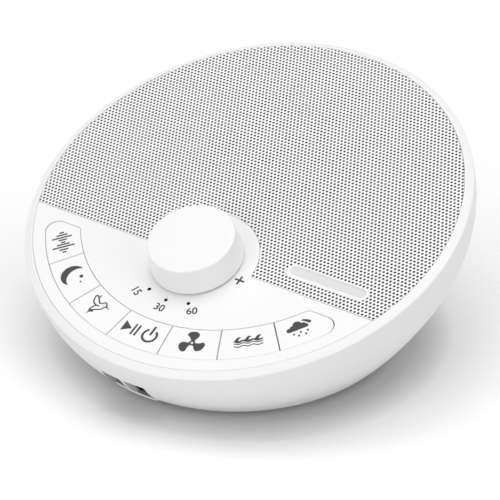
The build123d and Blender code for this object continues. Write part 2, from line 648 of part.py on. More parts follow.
def key_strip(grow):
    """The row of keys as one curved outline with straight ends, grown by a clearance."""
    ring = Circle(KEY_OUTER + grow) - Circle(KEY_INNER - grow)
    strip = ring & half_plane(KEY_END_LINE + grow, above=False)
    corners = strip.vertices().group_by(Axis.Y)[-1].sort_by(lambda v: abs(v.X))
    strip = fillet(corners[:2], KEY_END_INNER_ROUND)
    corners = strip.vertices().sort_by(lambda v: -(v.X ** 2 + v.Y ** 2))
    outer = [v for v in corners if v.Y > KEY_END_LINE + grow - 0.01][:2]
    return fillet(outer, KEY_END_OUTER_ROUND)


def key_outlines(grow, gap):
    """The row of keys cut into seven outlines, from left to right."""
    strip = key_strip(grow)
    middle = (len(KEY_NAMES) - 1) / 2
    for k in range(1, len(KEY_NAMES)):
        angle = (k - 0.5 - middle) * KEY_PITCH
        cut = Pos(*from_front(KEY_MIDDLE, angle)) * Rot(0, 0, angle)
        strip -= cut * Rectangle(gap, 2 * (KEY_OUTER - KEY_INNER))
    return strip.faces().sort_by(lambda f: f.center().X)


# ---- panel, grille, badge ----
def timer_places():
    places = [from_front(TIMER_CIRCLE, angle) for angle in TIMER_ANGLES]
    return [(x, KNOB_Y + y) for x, y in places]


def control_panel():
    below = -PANEL_THICKNESS - OVERCUT
    panel = slab(panel_outline() - key_strip(KEY_CLEARANCE), -PANEL_THICKNESS, 0)
    panel -= tube(BUSH_RADIUS + BUSH_CLEARANCE, below, OVERCUT, 0, KNOB_Y)
    for x, y in timer_places():
        panel -= tube(LENS_RADIUS + LENS_CLEARANCE, below, OVERCUT, x, y)
    for x, y in panel_screw_places():
        panel -= pilot_hole(CHASSIS_BOTTOM, PANEL_SCREW_LENGTH, x, y)
    return panel


def speaker_grille():
    return slab(grille_outline() - badge_outline(-BADGE_CLEARANCE), -GRILLE_THICKNESS, 0)


def badge():
    plate = slab(badge_outline(), SOUND_PLATE_TOP, BADGE_STAND)
    plate = fillet(plate.edges().group_by(Axis.Z)[-1], BADGE_ROUND)
    return plate - slab(badge_outline(BADGE_RIM), BADGE_STAND - BADGE_DISH, BADGE_STAND + OVERCUT)


# ---- chassis ----
def sound_slots():
    """Rings of arc slots over the cone, parted by spokes."""
    reach = BASKET_MOUTH
    spoke = Pos(reach / 2, 0) * Rectangle(reach, SLOT_SPOKE)
    spokes = sum_of([Rot(0, 0, 90 + k * 360 / SLOT_SPOKE_COUNT) * spoke for k in range(SLOT_SPOKE_COUNT)])
    slots = Circle(SLOT_FIRST_RADIUS - (SLOT_PITCH - SLOT_WIDTH))
    radius = SLOT_FIRST_RADIUS
    while radius + SLOT_WIDTH <= reach:
        slots += Circle(radius + SLOT_WIDTH) - Circle(radius) - spokes
        radius += SLOT_PITCH
    return Pos(0, SPEAKER_Y) * slots


def top_chassis():
    disc = Circle(DECK_RADIUS + SEAM - CHASSIS_CLEARANCE)
    chassis = slab(disc, CHASSIS_BOTTOM, CHASSIS_TOP)
    chassis += slab(grille_outline(), CHASSIS_TOP, SOUND_PLATE_TOP)
    chassis += slab(grille_outline() - grille_outline(GRILLE_REST_WIDTH), SOUND_PLATE_TOP, -GRILLE_THICKNESS)

    # room for the keys, the volume control and the light guides
    below = CHASSIS_BOTTOM - OVERCUT
    chassis -= slab(key_strip(KEY_FLANGE_WIDTH + KEY_ROOM), below, CHASSIS_TOP)
    half = POT_SIZE / 2 + POT_ROOM
    chassis -= block(-half, half, KNOB_Y - half, KNOB_Y + half, below, CHASSIS_TOP)
    for x, y in timer_places():
        chassis -= tube(LENS_RADIUS + LENS_ROOM, below, CHASSIS_TOP, x, y)
    chassis -= slab(sound_slots(), below, OVERCUT)

    # stiffening ribs outside the speaker
    half = CHASSIS_RIB_WIDTH / 2
    rib_bottom = CHASSIS_BOTTOM - CHASSIS_RIB_HEIGHT
    rib_reach = tube(DECK_RADIUS - LEDGE_WIDTH - LUG_RADIUS, rib_bottom, CHASSIS_BOTTOM)
    for angle in CHASSIS_RIB_ANGLES:
        rib = block(SPEAKER_RADIUS + CHASSIS_RIB_GAP, BODY_RADIUS, -half, half, rib_bottom, CHASSIS_BOTTOM)
        chassis += Pos(0, SPEAKER_Y) * Rot(0, 0, angle) * rib & rib_reach

    # posts for the key board, and the holes for all screws
    for x, y in key_board_post_places():
        chassis += tube(KEY_BOARD_POST_RADIUS, BOARD_TOP, CHASSIS_BOTTOM, x, y)
        chassis -= pilot_hole(BOARD_BOTTOM, KEY_BOARD_SCREW_LENGTH, x, y)
    for x, y in chassis_screw_places():
        chassis -= pilot_hole(CHASSIS_SCREW_SEAT, CHASSIS_SCREW_LENGTH, x, y)
    for x, y in panel_screw_places():
        chassis -= through_hole(CHASSIS_BOTTOM, CHASSIS_TOP, x, y)
    for x, y in speaker_screw_places():
        chassis -= pilot_hole(SPEAKER_SCREW_SEAT, SPEAKER_SCREW_LENGTH, x, y)
    return chassis


def chassis_screws():
    return [Pos(x, y, CHASSIS_SCREW_SEAT) * screw(CHASSIS_SCREW_LENGTH) for x, y in chassis_screw_places()]


def panel_screws():
    return [Pos(x, y, CHASSIS_BOTTOM) * screw(PANEL_SCREW_LENGTH) for x, y in panel_screw_places()]


# ---- keys and switches ----
def switch_places():
    middle = (len(KEY_NAMES) - 1) / 2
    return [from_front(KEY_MIDDLE, (k - middle) * KEY_PITCH) for k in range(len(KEY_NAMES))]


def keys():
    """Seven caps, each with a flange under the panel and a stem over its switch."""
    caps = []
    faces = key_outlines(0, KEY_GAP)
    flanges = key_outlines(KEY_FLANGE_WIDTH, KEY_GAP)
    for face, flange, place in zip(faces, flanges, switch_places()):
        cap = slab(face, -KEY_FACE, 0)
        cap = chamfer(cap.edges().group_by(Axis.Z)[-1], KEY_EDGE)
        cap += slab(flange, FLANGE_BOTTOM, -KEY_FACE)
        caps.append(cap + tube(KEY_STEM_RADIUS, STEM_BOTTOM, FLANGE_BOTTOM, *place))
    return caps


def plungers():
    bottom = SWITCH_TOP - WELL_DEPTH + KEY_TRAVEL + PLUNGER_GAP
    return [tube(PLUNGER_RADIUS, bottom, STEM_BOTTOM, *place) for place in switch_places()]


def tact_switches():
    """Square switch cases, each with the well that its plunger slides in."""
    middle = (len(KEY_NAMES) - 1) / 2
    cases = []
    half = SWITCH_SIZE / 2
    for k, (x, y) in enumerate(switch_places()):
        case = block(-half, half, -half, half, BOARD_TOP, SWITCH_TOP)
        case = chamfer(case.edges().filter_by(Axis.Z), SWITCH_CORNER)
        case -= tube(PLUNGER_RADIUS + PLUNGER_CLEARANCE, SWITCH_TOP - WELL_DEPTH, SWITCH_TOP)
        cases.append(Pos(x, y) * Rot(0, 0, (k - middle) * KEY_PITCH) * case)
    return cases


def key_board():
    outline = Circle(KEY_BOARD_RADIUS) & half_plane(KEY_BOARD_EDGE, above=False)
    board = slab(outline, BOARD_BOTTOM, BOARD_TOP)
    for x, y in key_board_post_places():
        board -= through_hole(BOARD_BOTTOM, BOARD_TOP, x, y)
    return board


def key_board_screws():
    return [Pos(x, y, BOARD_BOTTOM) * screw(KEY_BOARD_SCREW_LENGTH) for x, y in key_board_post_places()]


def timer_lenses():
    return [tube(LENS_RADIUS, BOARD_TOP + LED_HEIGHT, 0, x, y) for x, y in timer_places()]


def timer_leds():
    half_x = LED_LENGTH / 2
    half_y = LED_WIDTH / 2
    return [block(x - half_x, x + half_x, y - half_y, y + half_y, BOARD_TOP, BOARD_TOP + LED_HEIGHT)
            for x, y in timer_places()]


# ---- knob and volume control ----
def shaft_profile(radius, flat):
    """Round section with one flat, for the shaft and for the knob's bore."""
    far = 4 * radius
    return Circle(radius) & (Pos(0, flat - far / 2) * Rectangle(far, far))


def volume_knob():
    top = KNOB_GAP + KNOB_HEIGHT
    knob = spin([(0, KNOB_GAP), (KNOB_BASE_RADIUS, KNOB_GAP), (KNOB_TOP_RADIUS, top), (0, top)])
    knob = fillet(knob.edges().group_by(Axis.Z)[-1], KNOB_ROUND)
    knob = chamfer(knob.edges().group_by(Axis.Z)[0], KNOB_FOOT_CHAMFER)
    roof = top - KNOB_ROOF
    inside = spin([(0, 0), (KNOB_BASE_RADIUS - KNOB_WALL, 0), (KNOB_TOP_RADIUS - KNOB_WALL, roof), (0, roof)])
    knob -= inside
    hub = tube(KNOB_HUB_RADIUS, KNOB_HUB_GAP, roof)
    reach = KNOB_TOP_RADIUS - KNOB_WALL / 2
    half = KNOB_RIB_WIDTH / 2
    for k in range(KNOB_RIB_COUNT):
        rib = block(0, reach, -half, half, KNOB_HUB_GAP + KNOB_RIB_LIFT, roof)
        hub += Rot(0, 0, k * 360 / KNOB_RIB_COUNT) * rib
    knob += hub
    bore = shaft_profile(SHAFT_RADIUS + SHAFT_CLEARANCE, SHAFT_FLAT + SHAFT_CLEARANCE)
    knob -= slab(bore, 0, SHAFT_HEIGHT + SHAFT_END_GAP)
    return Pos(0, KNOB_Y) * knob


def volume_pot_shaft():
    shaft = tube(SHAFT_RADIUS, -PANEL_THICKNESS - SHAFT_DEPTH, BUSH_HEIGHT)
    shaft += slab(shaft_profile(SHAFT_RADIUS, SHAFT_FLAT), BUSH_HEIGHT, SHAFT_HEIGHT)
    return Pos(0, KNOB_Y) * shaft


def volume_pot_body():
    half = POT_SIZE / 2
    top = -PANEL_THICKNESS - POT_GAP
    body = block(-half, half, -half, half, BOARD_TOP, top)
    body = fillet(body.edges().filter_by(Axis.Z), POT_CORNER)
    body += tube(BUSH_RADIUS, top, BUSH_HEIGHT)
    well_bottom = -PANEL_THICKNESS - SHAFT_DEPTH - SHAFT_CLEARANCE
    body -= tube(SHAFT_RADIUS + SHAFT_CLEARANCE, well_bottom, BUSH_HEIGHT)
    return Pos(0, KNOB_Y) * body


def pot_washer():
    ring = tube(WASHER_RADIUS, 0, WASHER_THICKNESS) - tube(BUSH_RADIUS, 0, WASHER_THICKNESS)
    return Pos(0, KNOB_Y) * ring


def pot_nut():
    outline = RegularPolygon(NUT_ACROSS / 2, 6, major_radius=False)
    nut = slab(outline, WASHER_THICKNESS, WASHER_THICKNESS + NUT_THICKNESS)
    return Pos(0, KNOB_Y) * (nut - tube(BUSH_RADIUS, 0, BUSH_HEIGHT))


# ---- speaker, drawn about its own axis with the flange's front face at z = 0 ----
def seat_speaker(part):
    return Pos(0, SPEAKER_Y, CHASSIS_BOTTOM - GASKET_THICKNESS) * part


def speaker_screw_places():
    step = 360 / SPEAKER_SCREW_COUNT
    places = [polar(SPEAKER_SCREW_CIRCLE, (k + 0.5) * step) for k in range(SPEAKER_SCREW_COUNT)]
    return [(x, y + SPEAKER_Y) for x, y in places]


def speaker_gasket():
    hole = tube(SPEAKER_RADIUS - SPEAKER_FLANGE, 0, GASKET_THICKNESS)
    ring = tube(SPEAKER_RADIUS, 0, GASKET_THICKNESS) - hole
    for x, y in speaker_screw_places():
        ring -= through_hole(0, GASKET_THICKNESS, x, y - SPEAKER_Y)
    return seat_speaker(ring)


def speaker_basket():
    """Pressed steel frame: flange, short wall, conical side with windows, flat back."""
    shelf = -CONE_LIP_DEPTH - CONE_SHEET
    step = BASKET_MOUTH - ROLL_SHELF
    wall = BASKET_MOUTH + BASKET_SHEET
    back = -BASKET_DEPTH
    side = spin([
        (SPEAKER_RADIUS, 0), (SPEAKER_RADIUS, -BASKET_SHEET), (wall, -BASKET_SHEET),
        (wall, shelf - BASKET_SHEET), (step + BASKET_SHEET, shelf - BASKET_SHEET),
        (BASKET_BACK_RADIUS + BASKET_SHEET, back),
        (COIL_RADIUS + COIL_HOLE_GAP, back), (COIL_RADIUS + COIL_HOLE_GAP, back + BASKET_SHEET),
        (BASKET_BACK_RADIUS, back + BASKET_SHEET), (step, shelf), (BASKET_MOUTH, shelf), (BASKET_MOUTH, 0),
    ])
    half = BASKET_WINDOW_WIDTH / 2
    window = block(BASKET_BACK_RADIUS + BASKET_WINDOW_FOOT, SPEAKER_RADIUS, -half, half,
                   back + BASKET_WINDOW_LOW, shelf - BASKET_SHEET - BASKET_WINDOW_HIGH)
    for k in range(BASKET_WINDOW_COUNT):
        side -= Rot(0, 0, k * 360 / BASKET_WINDOW_COUNT) * window
    for x, y in speaker_screw_places():
        side -= through_hole(-BASKET_SHEET, 0, x, y - SPEAKER_Y)
    return seat_speaker(side)


def speaker_screws():
    return [Pos(x, y, SPEAKER_SCREW_SEAT) * screw(SPEAKER_SCREW_LENGTH) for x, y in speaker_screw_places()]


def speaker_top_plate():
    top = -BASKET_DEPTH
    bottom = top - PLATE_THICKNESS
    return seat_speaker(tube(PLATE_RADIUS, bottom, top) - tube(GAP_RADIUS, bottom, top))


def speaker_magnet():
    top = -BASKET_DEPTH - PLATE_THICKNESS
    bottom = top - MAGNET_THICKNESS
    ring = tube(MAGNET_RADIUS, bottom, top) - tube(MAGNET_BORE, bottom, top)
    rear_edge = ring.edges().group_by(Axis.Z)[0].sort_by(SortBy.RADIUS)[-1:]
    return seat_speaker(chamfer(rear_edge, MAGNET_CHAMFER))


def speaker_yoke():
    """Steel back plate with the pole that stands inside the coil."""
    top = -BASKET_DEPTH - PLATE_THICKNESS - MAGNET_THICKNESS
    return seat_speaker(tube(PLATE_RADIUS, top - YOKE_THICKNESS, top) + tube(POLE_RADIUS, top, -BASKET_DEPTH))


def speaker_voice_coil():
    bottom = -BASKET_DEPTH - COIL_DEPTH
    inside = tube(COIL_RADIUS - COIL_WALL, bottom, CONE_NECK)
    return seat_speaker(tube(COIL_RADIUS, bottom, CONE_NECK) - inside)


def speaker_cone():
    lip = -CONE_LIP_DEPTH
    neck_inner = COIL_RADIUS - COIL_WALL
    cone = spin([
        (COIL_RADIUS, CONE_NECK), (CONE_RADIUS, lip - CONE_SHEET), (CONE_RADIUS, lip),
        (CONE_RADIUS - CONE_LIP_WIDTH, lip), (neck_inner, CONE_NECK + CONE_SHEET), (neck_inner, CONE_NECK),
    ])
    return seat_speaker(cone)


def speaker_dust_cap():
    """Shallow dome on the cone over the coil."""
    foot = CONE_NECK + CONE_SHEET + CAP_STANDOFF
    neck_inner = COIL_RADIUS - COIL_WALL
    slope = (CONE_RADIUS - CONE_LIP_WIDTH - neck_inner) / (-CONE_LIP_DEPTH - CONE_NECK - CONE_SHEET)
    radius = neck_inner + CAP_STANDOFF * slope
    sphere = (radius ** 2 + CAP_HEIGHT ** 2) / (2 * CAP_HEIGHT)
    dome = Pos(0, 0, foot + CAP_HEIGHT - sphere) * (Sphere(sphere) - Sphere(sphere - CAP_SHEET))
    return seat_speaker(dome & tube(radius, foot, foot + CAP_HEIGHT))


def speaker_surround():
    """Half-roll between the cone and the basket's wall, with a flat edge on each side."""
    inner = CONE_RADIUS + CONE_CLEARANCE
    outer = BASKET_MOUTH - ROLL_CLEARANCE
    middle = (inner + outer) / 2
    base = -CONE_LIP_DEPTH - CONE_SHEET
    top = base + ROLL_SHEET
    roll = Pos(0, 0, base) * (Torus(middle, ROLL_RADIUS) - Torus(middle, ROLL_RADIUS - ROLL_SHEET))
    roll &= tube(SPEAKER_RADIUS, base, 0)
    hollow = ROLL_RADIUS - ROLL_SHEET
    outer_edge = tube(outer, base, top) - tube(middle + hollow, base, top)
    inner_edge = tube(middle - hollow, base, top) - tube(inner, base, top)
    return seat_speaker(roll + outer_edge + inner_edge)


def speaker_spider():
    """Rippled cloth disc that centres the coil, with a flat rim on the basket's back."""
    inner = COIL_RADIUS + CONE_CLEARANCE
    outer = BASKET_BACK_RADIUS - SPIDER_CLEARANCE
    base = -BASKET_DEPTH + BASKET_SHEET
    ripple = (outer - SPIDER_RIM - inner) / SPIDER_RIPPLES
    lower = []
    for k in range(SPIDER_RIPPLES + 1):
        lower.append((inner + k * ripple, base + (SPIDER_WAVE if k % 2 else 0.0)))
    lower.append((outer, base))
    upper = [(radius, height + SPIDER_SHEET) for radius, height in reversed(lower)]
    return seat_speaker(spin(lower + upper))


# ---- ports and main board ----
def headphone_jack():
    """Jack sunk into a notch of the board, with its round nose in the back wall of the recess."""
    front = PORT_WALL_BACK + SOCKET_INSET
    half = JACK_WIDTH / 2
    low = SOCKET_AXIS_HEIGHT - JACK_HEIGHT / 2
    body = block(JACK_X - half, JACK_X + half, front, front + JACK_LENGTH, low, low + JACK_HEIGHT)
    body = fillet(body.edges().filter_by(Axis.Y), JACK_CORNER)
    axis = Plane((JACK_X, PORT_BACK + SOCKET_INSET, SOCKET_AXIS_HEIGHT), x_dir=(1, 0, 0), z_dir=(0, 1, 0))
    body += extrude(axis * Circle(JACK_NOSE_RADIUS), PORT_WALL)
    return body - extrude(axis * Circle(JACK_BORE), JACK_BORE_LENGTH)


def usb_outline(inset):
    """Socket mouth: straight top, lower corners cut back."""
    half_width = USB_WIDTH / 2 - inset
    half_height = USB_HEIGHT / 2 - inset
    step_x = half_width - USB_CORNER
    step_y = USB_CORNER - half_height
    points = [(-half_width, half_height), (half_width, half_height), (half_width, step_y),
              (step_x, -half_height), (-step_x, -half_height), (-half_width, step_y)]
    return make_face(Polyline(points, close=True))


def usb_plane(front):
    return Plane((USB_X, front, SOCKET_AXIS_HEIGHT), x_dir=(-1, 0, 0), z_dir=(0, 1, 0))


def usb_socket():
    front = PORT_BACK + SOCKET_INSET
    case = extrude(usb_plane(front) * usb_outline(0), USB_LENGTH)
    return case - extrude(usb_plane(front) * usb_outline(USB_SHEET), USB_LENGTH - USB_SHEET)


def usb_tongue():
    back = PORT_BACK + SOCKET_INSET + USB_LENGTH - USB_SHEET
    half = TONGUE_WIDTH / 2
    top = SOCKET_AXIS_HEIGHT + TONGUE_RISE
    return block(USB_X - half, USB_X + half, back - TONGUE_LENGTH, back, top - TONGUE_THICKNESS, top)


def main_board():
    """Board with a narrower nose between the sockets, notched round the jack."""
    bottom, top = MAIN_BOARD_BOTTOM, MAIN_BOARD_TOP
    front = PORT_WALL_BACK + BOARD_CLEARANCE
    half = MAIN_BOARD_WIDTH / 2
    nose_x = (JACK_X + USB_X) / 2
    nose_half = MAIN_BOARD_NOSE_WIDTH / 2
    step = PORT_BACK + MAIN_BOARD_STEP
    board = block(-half, half, step, PORT_BACK + MAIN_BOARD_REACH, bottom, top)
    board += block(nose_x - nose_half, nose_x + nose_half, front, step, bottom, top)
    notch = JACK_WIDTH / 2 + BOARD_CLEARANCE
    back = PORT_WALL_BACK + SOCKET_INSET + JACK_LENGTH + BOARD_CLEARANCE
    board -= block(JACK_X - notch, JACK_X + notch, front, back, bottom, top)
    for x, y in main_board_screw_places():
        board -= through_hole(bottom, top, x, y)
    return board


def main_board_screws():
    return [Pos(x, y, MAIN_BOARD_TOP) * Rot(180, 0, 0) * screw(MAIN_BOARD_SCREW_LENGTH)
            for x, y in main_board_screw_places()]


def chip(size, place):
    """Flat package with a row of legs down each side."""
    length, width, height = size
    x, back = place
    half_x = length / 2
    half_y = width / 2
    leg_x = half_x - CHIP_LEG_MARGIN
    leg_y = half_y + CHIP_LEG_REACH
    body = block(-half_x, half_x, -half_y, half_y, CHIP_LEG, height)
    legs = block(-leg_x, leg_x, -leg_y, leg_y, 0, 2 * CHIP_LEG)
    return Pos(x, PORT_BACK + back, MAIN_BOARD_TOP) * (body + legs)


def capacitors():
    places = [(MAIN_BOARD_WIDTH / 2 - inset, CAPACITOR_ROW) for inset in CAPACITOR_INSETS]
    cans = []
    for x, y in on_main_board(places):
        can = tube(CAPACITOR_RADIUS, MAIN_BOARD_TOP, MAIN_BOARD_TOP + CAPACITOR_HEIGHT, x, y)
        cans.append(chamfer(can.edges().group_by(Axis.Z)[-1], CAPACITOR_CHAMFER))
    return cans


def wire_connectors():
    """Open-topped headers for the speaker leads and the ribbon."""
    length, width, height = CONNECTOR_SIZE
    half_x = length / 2
    half_y = width / 2
    inner_x = half_x - CONNECTOR_WALL
    inner_y = half_y - CONNECTOR_WALL
    header = block(-half_x, half_x, -half_y, half_y, 0, height)
    header -= block(-inner_x, inner_x, -inner_y, inner_y, CONNECTOR_FLOOR, height)
    return [Pos(x, y, MAIN_BOARD_TOP) * header for x, y in on_main_board(CONNECTOR_PLACES)]


# ---- wiring ----
def speaker_terminals():
    """Tag strip under the flange, on the side towards the keys."""
    half = TERMINAL_WIDTH / 2
    strip = block(-half, half, -TERMINAL_NEAR, TERMINAL_THICKNESS - TERMINAL_NEAR,
                  -BASKET_SHEET - TERMINAL_LENGTH, -BASKET_SHEET)
    return seat_speaker(fillet(strip.edges().filter_by(Axis.Y).group_by(Axis.Z)[0], TERMINAL_CORNER))


def bend_radii(points):
    """Largest arc that fits each corner of a route of points."""
    radii = []
    for before, corner, after in zip(points, points[1:], points[2:]):
        turn = radians((corner - before).get_angle(after - corner))
        shorter = min((corner - before).length, (after - corner).length)
        radii.append(LEAD_BEND_SHARE * shorter / tan(turn / 2))
    return radii


def speaker_leads():
    """Two wires from the tag strip down to their header on the main board."""
    tip_y = SPEAKER_Y - TERMINAL_NEAR + TERMINAL_THICKNESS / 2
    tip_z = SPEAKER_SCREW_SEAT - TERMINAL_LENGTH
    header = on_main_board(CONNECTOR_PLACES)[1]
    leads = []
    for side in (-1, 1):
        shift = Vector(side * LEAD_SPACING / 2, 0, 0)
        start = DECK.from_local_coords(Vector(0, tip_y, tip_z)) + shift
        below = DECK.from_local_coords(Vector(0, tip_y, tip_z - LEAD_DROP)) + shift
        over = Vector(*header, LEAD_HEADER_HEIGHT) + shift
        end = Vector(*header, WIRE_END) + shift
        points = [start, below] + [Vector(*point) + shift for point in LEAD_ROUTE] + [over, end]
        radii = bend_radii(points)
        print("speaker lead bends", [round(radius, 1) for radius in radii])
        path = FilletPolyline(*points, radius=radii)
        section = Plane(origin=path @ 0, z_dir=path % 0) * Circle(LEAD_RADIUS)
        leads.append(sweep(section, path=path))
    return leads


def board_ribbon():
    """Flat cable from the key board's underside to its header on the main board."""
    x, y = on_main_board(CONNECTOR_PLACES)[0]
    header_top = MAIN_BOARD_TOP + CONNECTOR_SIZE[2]
    top = DECK_HEIGHT + BOARD_BOTTOM / TILT_COS + (y - DECK_Y) * tan(radians(DECK_TILT))
    path = FilletPolyline(
        (y, top), (y + RIBBON_DROP * TILT_SIN, top - RIBBON_DROP * TILT_COS),
        (y + RIBBON_BULGE, (top + MAIN_BOARD_TOP) / 2), (y, header_top), (y, WIRE_END), radius=RIBBON_BEND)
    band = trace(path, line_width=RIBBON_THICKNESS)
    return Pos(x, 0, 0) * extrude(Plane.YZ * band, RIBBON_WIDTH / 2, both=True)


# ---- build ----
def build():
    os.makedirs("parts", exist_ok=True)
    save("body_shell", body_shell())
    save("base_cover", base_cover())
    save("foot_pads", *foot_pads())
    save("base_screws", *base_screws())

    deck_pieces = {
        "control_panel": [control_panel()],
        "speaker_grille": [speaker_grille()],
        "badge": [badge()],
        "top_chassis": [top_chassis()],
        "chassis_screws": chassis_screws(),
        "panel_screws": panel_screws(),
        "tact_switches": tact_switches(),
        "key_board": [key_board()],
        "key_board_screws": key_board_screws(),
        "timer_lenses": timer_lenses(),
        "timer_leds": timer_leds(),
        "volume_knob": [volume_knob()],
        "volume_pot_shaft": [volume_pot_shaft()],
        "volume_pot_body": [volume_pot_body()],
        "pot_washer": [pot_washer()],
        "pot_nut": [pot_nut()],
        "speaker_gasket": [speaker_gasket()],
        "speaker_basket": [speaker_basket()],
        "speaker_screws": speaker_screws(),
        "speaker_top_plate": [speaker_top_plate()],
        "speaker_magnet": [speaker_magnet()],
        "speaker_yoke": [speaker_yoke()],
        "speaker_voice_coil": [speaker_voice_coil()],
        "speaker_cone": [speaker_cone()],
        "speaker_dust_cap": [speaker_dust_cap()],
        "speaker_surround": [speaker_surround()],
        "speaker_spider": [speaker_spider()],
        "speaker_terminals": [speaker_terminals()],
    }
    for key_name, cap, plunger in zip(KEY_NAMES, keys(), plungers()):
        deck_pieces["key_" + key_name] = [cap]
        deck_pieces["switch_plunger_" + key_name] = [plunger]
    for name, pieces in deck_pieces.items():
        save(name, *[tilted(piece) for piece in pieces])

    save("headphone_jack", headphone_jack())
    save("usb_socket", usb_socket())
    save("usb_tongue", usb_tongue())
    save("main_board", main_board())
    save("main_board_screws", *main_board_screws())
    save("amplifier_chip", chip(AMPLIFIER_SIZE, AMPLIFIER_PLACE))
    save("sound_chip", chip(SOUND_CHIP_SIZE, SOUND_CHIP_PLACE))
    save("capacitors", *capacitors())
    save("wire_connectors", *wire_connectors())
    save("speaker_leads", *speaker_leads())
    save("board_ribbon", board_ribbon())


build()
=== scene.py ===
"""Bedside sound machine: finish, perforated grille, badge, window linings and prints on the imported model.

Flat pieces of the tilted top are drawn in millimetres in the deck frame: its origin is the centre
of the top, +X to the user's right, +Y towards the back and +Z out of the top.
"""
import json
from math import acos, atan2, ceil, cos, hypot, pi, radians, sin, sqrt

import bmesh
import bpy
from mathutils import Matrix, Vector
from mathutils.geometry import delaunay_2d_cdt


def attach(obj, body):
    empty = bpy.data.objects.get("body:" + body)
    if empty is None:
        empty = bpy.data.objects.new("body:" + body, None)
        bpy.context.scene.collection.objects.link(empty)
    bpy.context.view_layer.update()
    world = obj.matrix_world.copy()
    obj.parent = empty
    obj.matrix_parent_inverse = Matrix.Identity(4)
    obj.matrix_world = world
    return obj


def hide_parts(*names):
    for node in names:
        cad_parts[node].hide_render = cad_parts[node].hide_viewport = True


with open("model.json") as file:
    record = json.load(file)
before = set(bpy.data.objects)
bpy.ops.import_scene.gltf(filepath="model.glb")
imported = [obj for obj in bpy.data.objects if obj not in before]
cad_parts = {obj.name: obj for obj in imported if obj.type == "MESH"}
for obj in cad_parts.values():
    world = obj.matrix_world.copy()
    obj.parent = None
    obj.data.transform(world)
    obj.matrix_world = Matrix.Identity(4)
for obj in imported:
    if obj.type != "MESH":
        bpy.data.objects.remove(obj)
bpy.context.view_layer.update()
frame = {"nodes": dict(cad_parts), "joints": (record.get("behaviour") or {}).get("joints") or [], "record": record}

MM = 0.001

# ---- sizes of the top, as in the solids ----
KNOB_Y = -26.4
DECK_RADIUS = 66.6
SEAM = 0.25                 # gap to the rim and between panel and grille
TIGHT_SEAM = 0.13           # what shows of it
PANEL_LINE = -26.1
LOBE_RADIUS = 18.8
KEY_MIDDLE = 57.2
KEY_PITCH = 17.0
KEY_NAMES = ("wave", "moon", "bird", "power", "fan", "ocean", "rain")
BADGE_CENTRE = (41.4, -19.0)
BADGE_LENGTH = 28.0
BADGE_WIDTH = 5.2
BADGE_OVERLAP = 0.55        # of its rim on the sheet
BADGE_SIDES = 20            # straight sides of each round end
BADGE_PROFILE = (           # rings from the underside to the middle: inset, height and shift to the back
    (0.75, -0.5, 0.0), (0.65, -0.01, 0.0), (0.02, -0.01, 0.0), (0.0, 0.03, 0.0), (0.06, 0.12, 0.0),
    (0.16, 0.18, 0.0), (0.30, 0.20, 0.0), (0.42, 0.19, 0.0), (0.60, 0.14, 0.10), (0.95, 0.0, 0.40),
    (1.03, -0.18, 0.42), (1.12, -0.31, 0.42), (1.28, -0.38, 0.42), (1.6, -0.42, 0.42), (2.1, -0.44, 0.42),
    (2.55, -0.44, 0.42))
PAINTED_SHADE_HEIGHTS = (-0.16, -0.02)  # heights between which the dish's painted shade turns into the rim's white
# pale grey painted into the dish as shade
DISH_PAINTED_SHADE = (0.69, 0.69, 0.69)

SEEN_RADIUS = DECK_RADIUS + SEAM - TIGHT_SEAM
EDGE_TOLERANCE = 0.01       # a point this near to DECK_RADIUS is on the panel's round edge

# ---- windows of the sockets, as in the solids, along the world's axes ----
PORT_CENTRES = (-6.1, 2.6)
PORT_WIDTH = 7.6
PORT_BOTTOM = 4.8
PORT_TOP = 13.1
PORT_ROUND = 0.8
PORT_BACK = -50.25          # y of the inserts' back edge
CORNER_SIDES = 5            # straight sides of each rounded corner
INSERT_GAP = 0.03           # from the window's walls
INSERT_WALL = 0.12
INSERT_DEPTH = 1.7          # from the bowl's outside to its front edge
LIP_RADIUS = 0.33
LIP_END_SHARE = 0.15        # of that radius at its two ends
LIP_BLUNTNESS = 8           # power of the curve that rounds its ends
LIP_STAND = 0.05            # of its middle, out of the bowl
LIP_HEIGHT = 5.05           # of its middle, over the table
LIP_SIDES = 12              # straight sides of its round section
LIP_PARTS = 36              # straight parts of its length

# ---- perforation ----
HOLE_RADIUS = 0.41
HOLE_SIDES = 8              # straight sides of each hole
HOLE_PITCH = 1.2635         # along a row
ROW_PITCH = 1.17
FIRST_ROW = -25.33
FIRST_SHIFT = 0.357         # of a pitch, from the middle to a hole of the first row
SHEET_THICKNESS = 0.1
SPLIT_ROW = 37.5            # the sheet is made in two pieces that meet between these rows
ARC_STEP = 1.0              # length of a straight side on the sheet's round edges

# ---- printing ----
INK_TOP = 0.02              # above the face that is printed
INK_BOTTOM = -0.02
CIRCLE_STEP = 0.12          # length of a straight side on a printed round edge
FILL_TOLERANCE = 1e-6       # distance at which two corners of a filled outline are one
LETTER_TOLERANCE = 1e-5     # the same in the letters' outlines
NUMBER_HEIGHT = 2.6
NUMBER_BOLD = 0.018         # how far the letters' edges move out, of their size
NUMBER_SLANT = -0.05
NUMBER_PLACES = (("15", -10.35, -44.3), ("30", -0.15, -46.8), ("60", 9.8, -44.1))
SIGN_PLACES = (("minus", -16.1, 2.2), ("plus", 16.55, 3.3))     # name, x and length of its strokes
SIGN_Y = -28.5
SIGN_WIDTH = 0.6

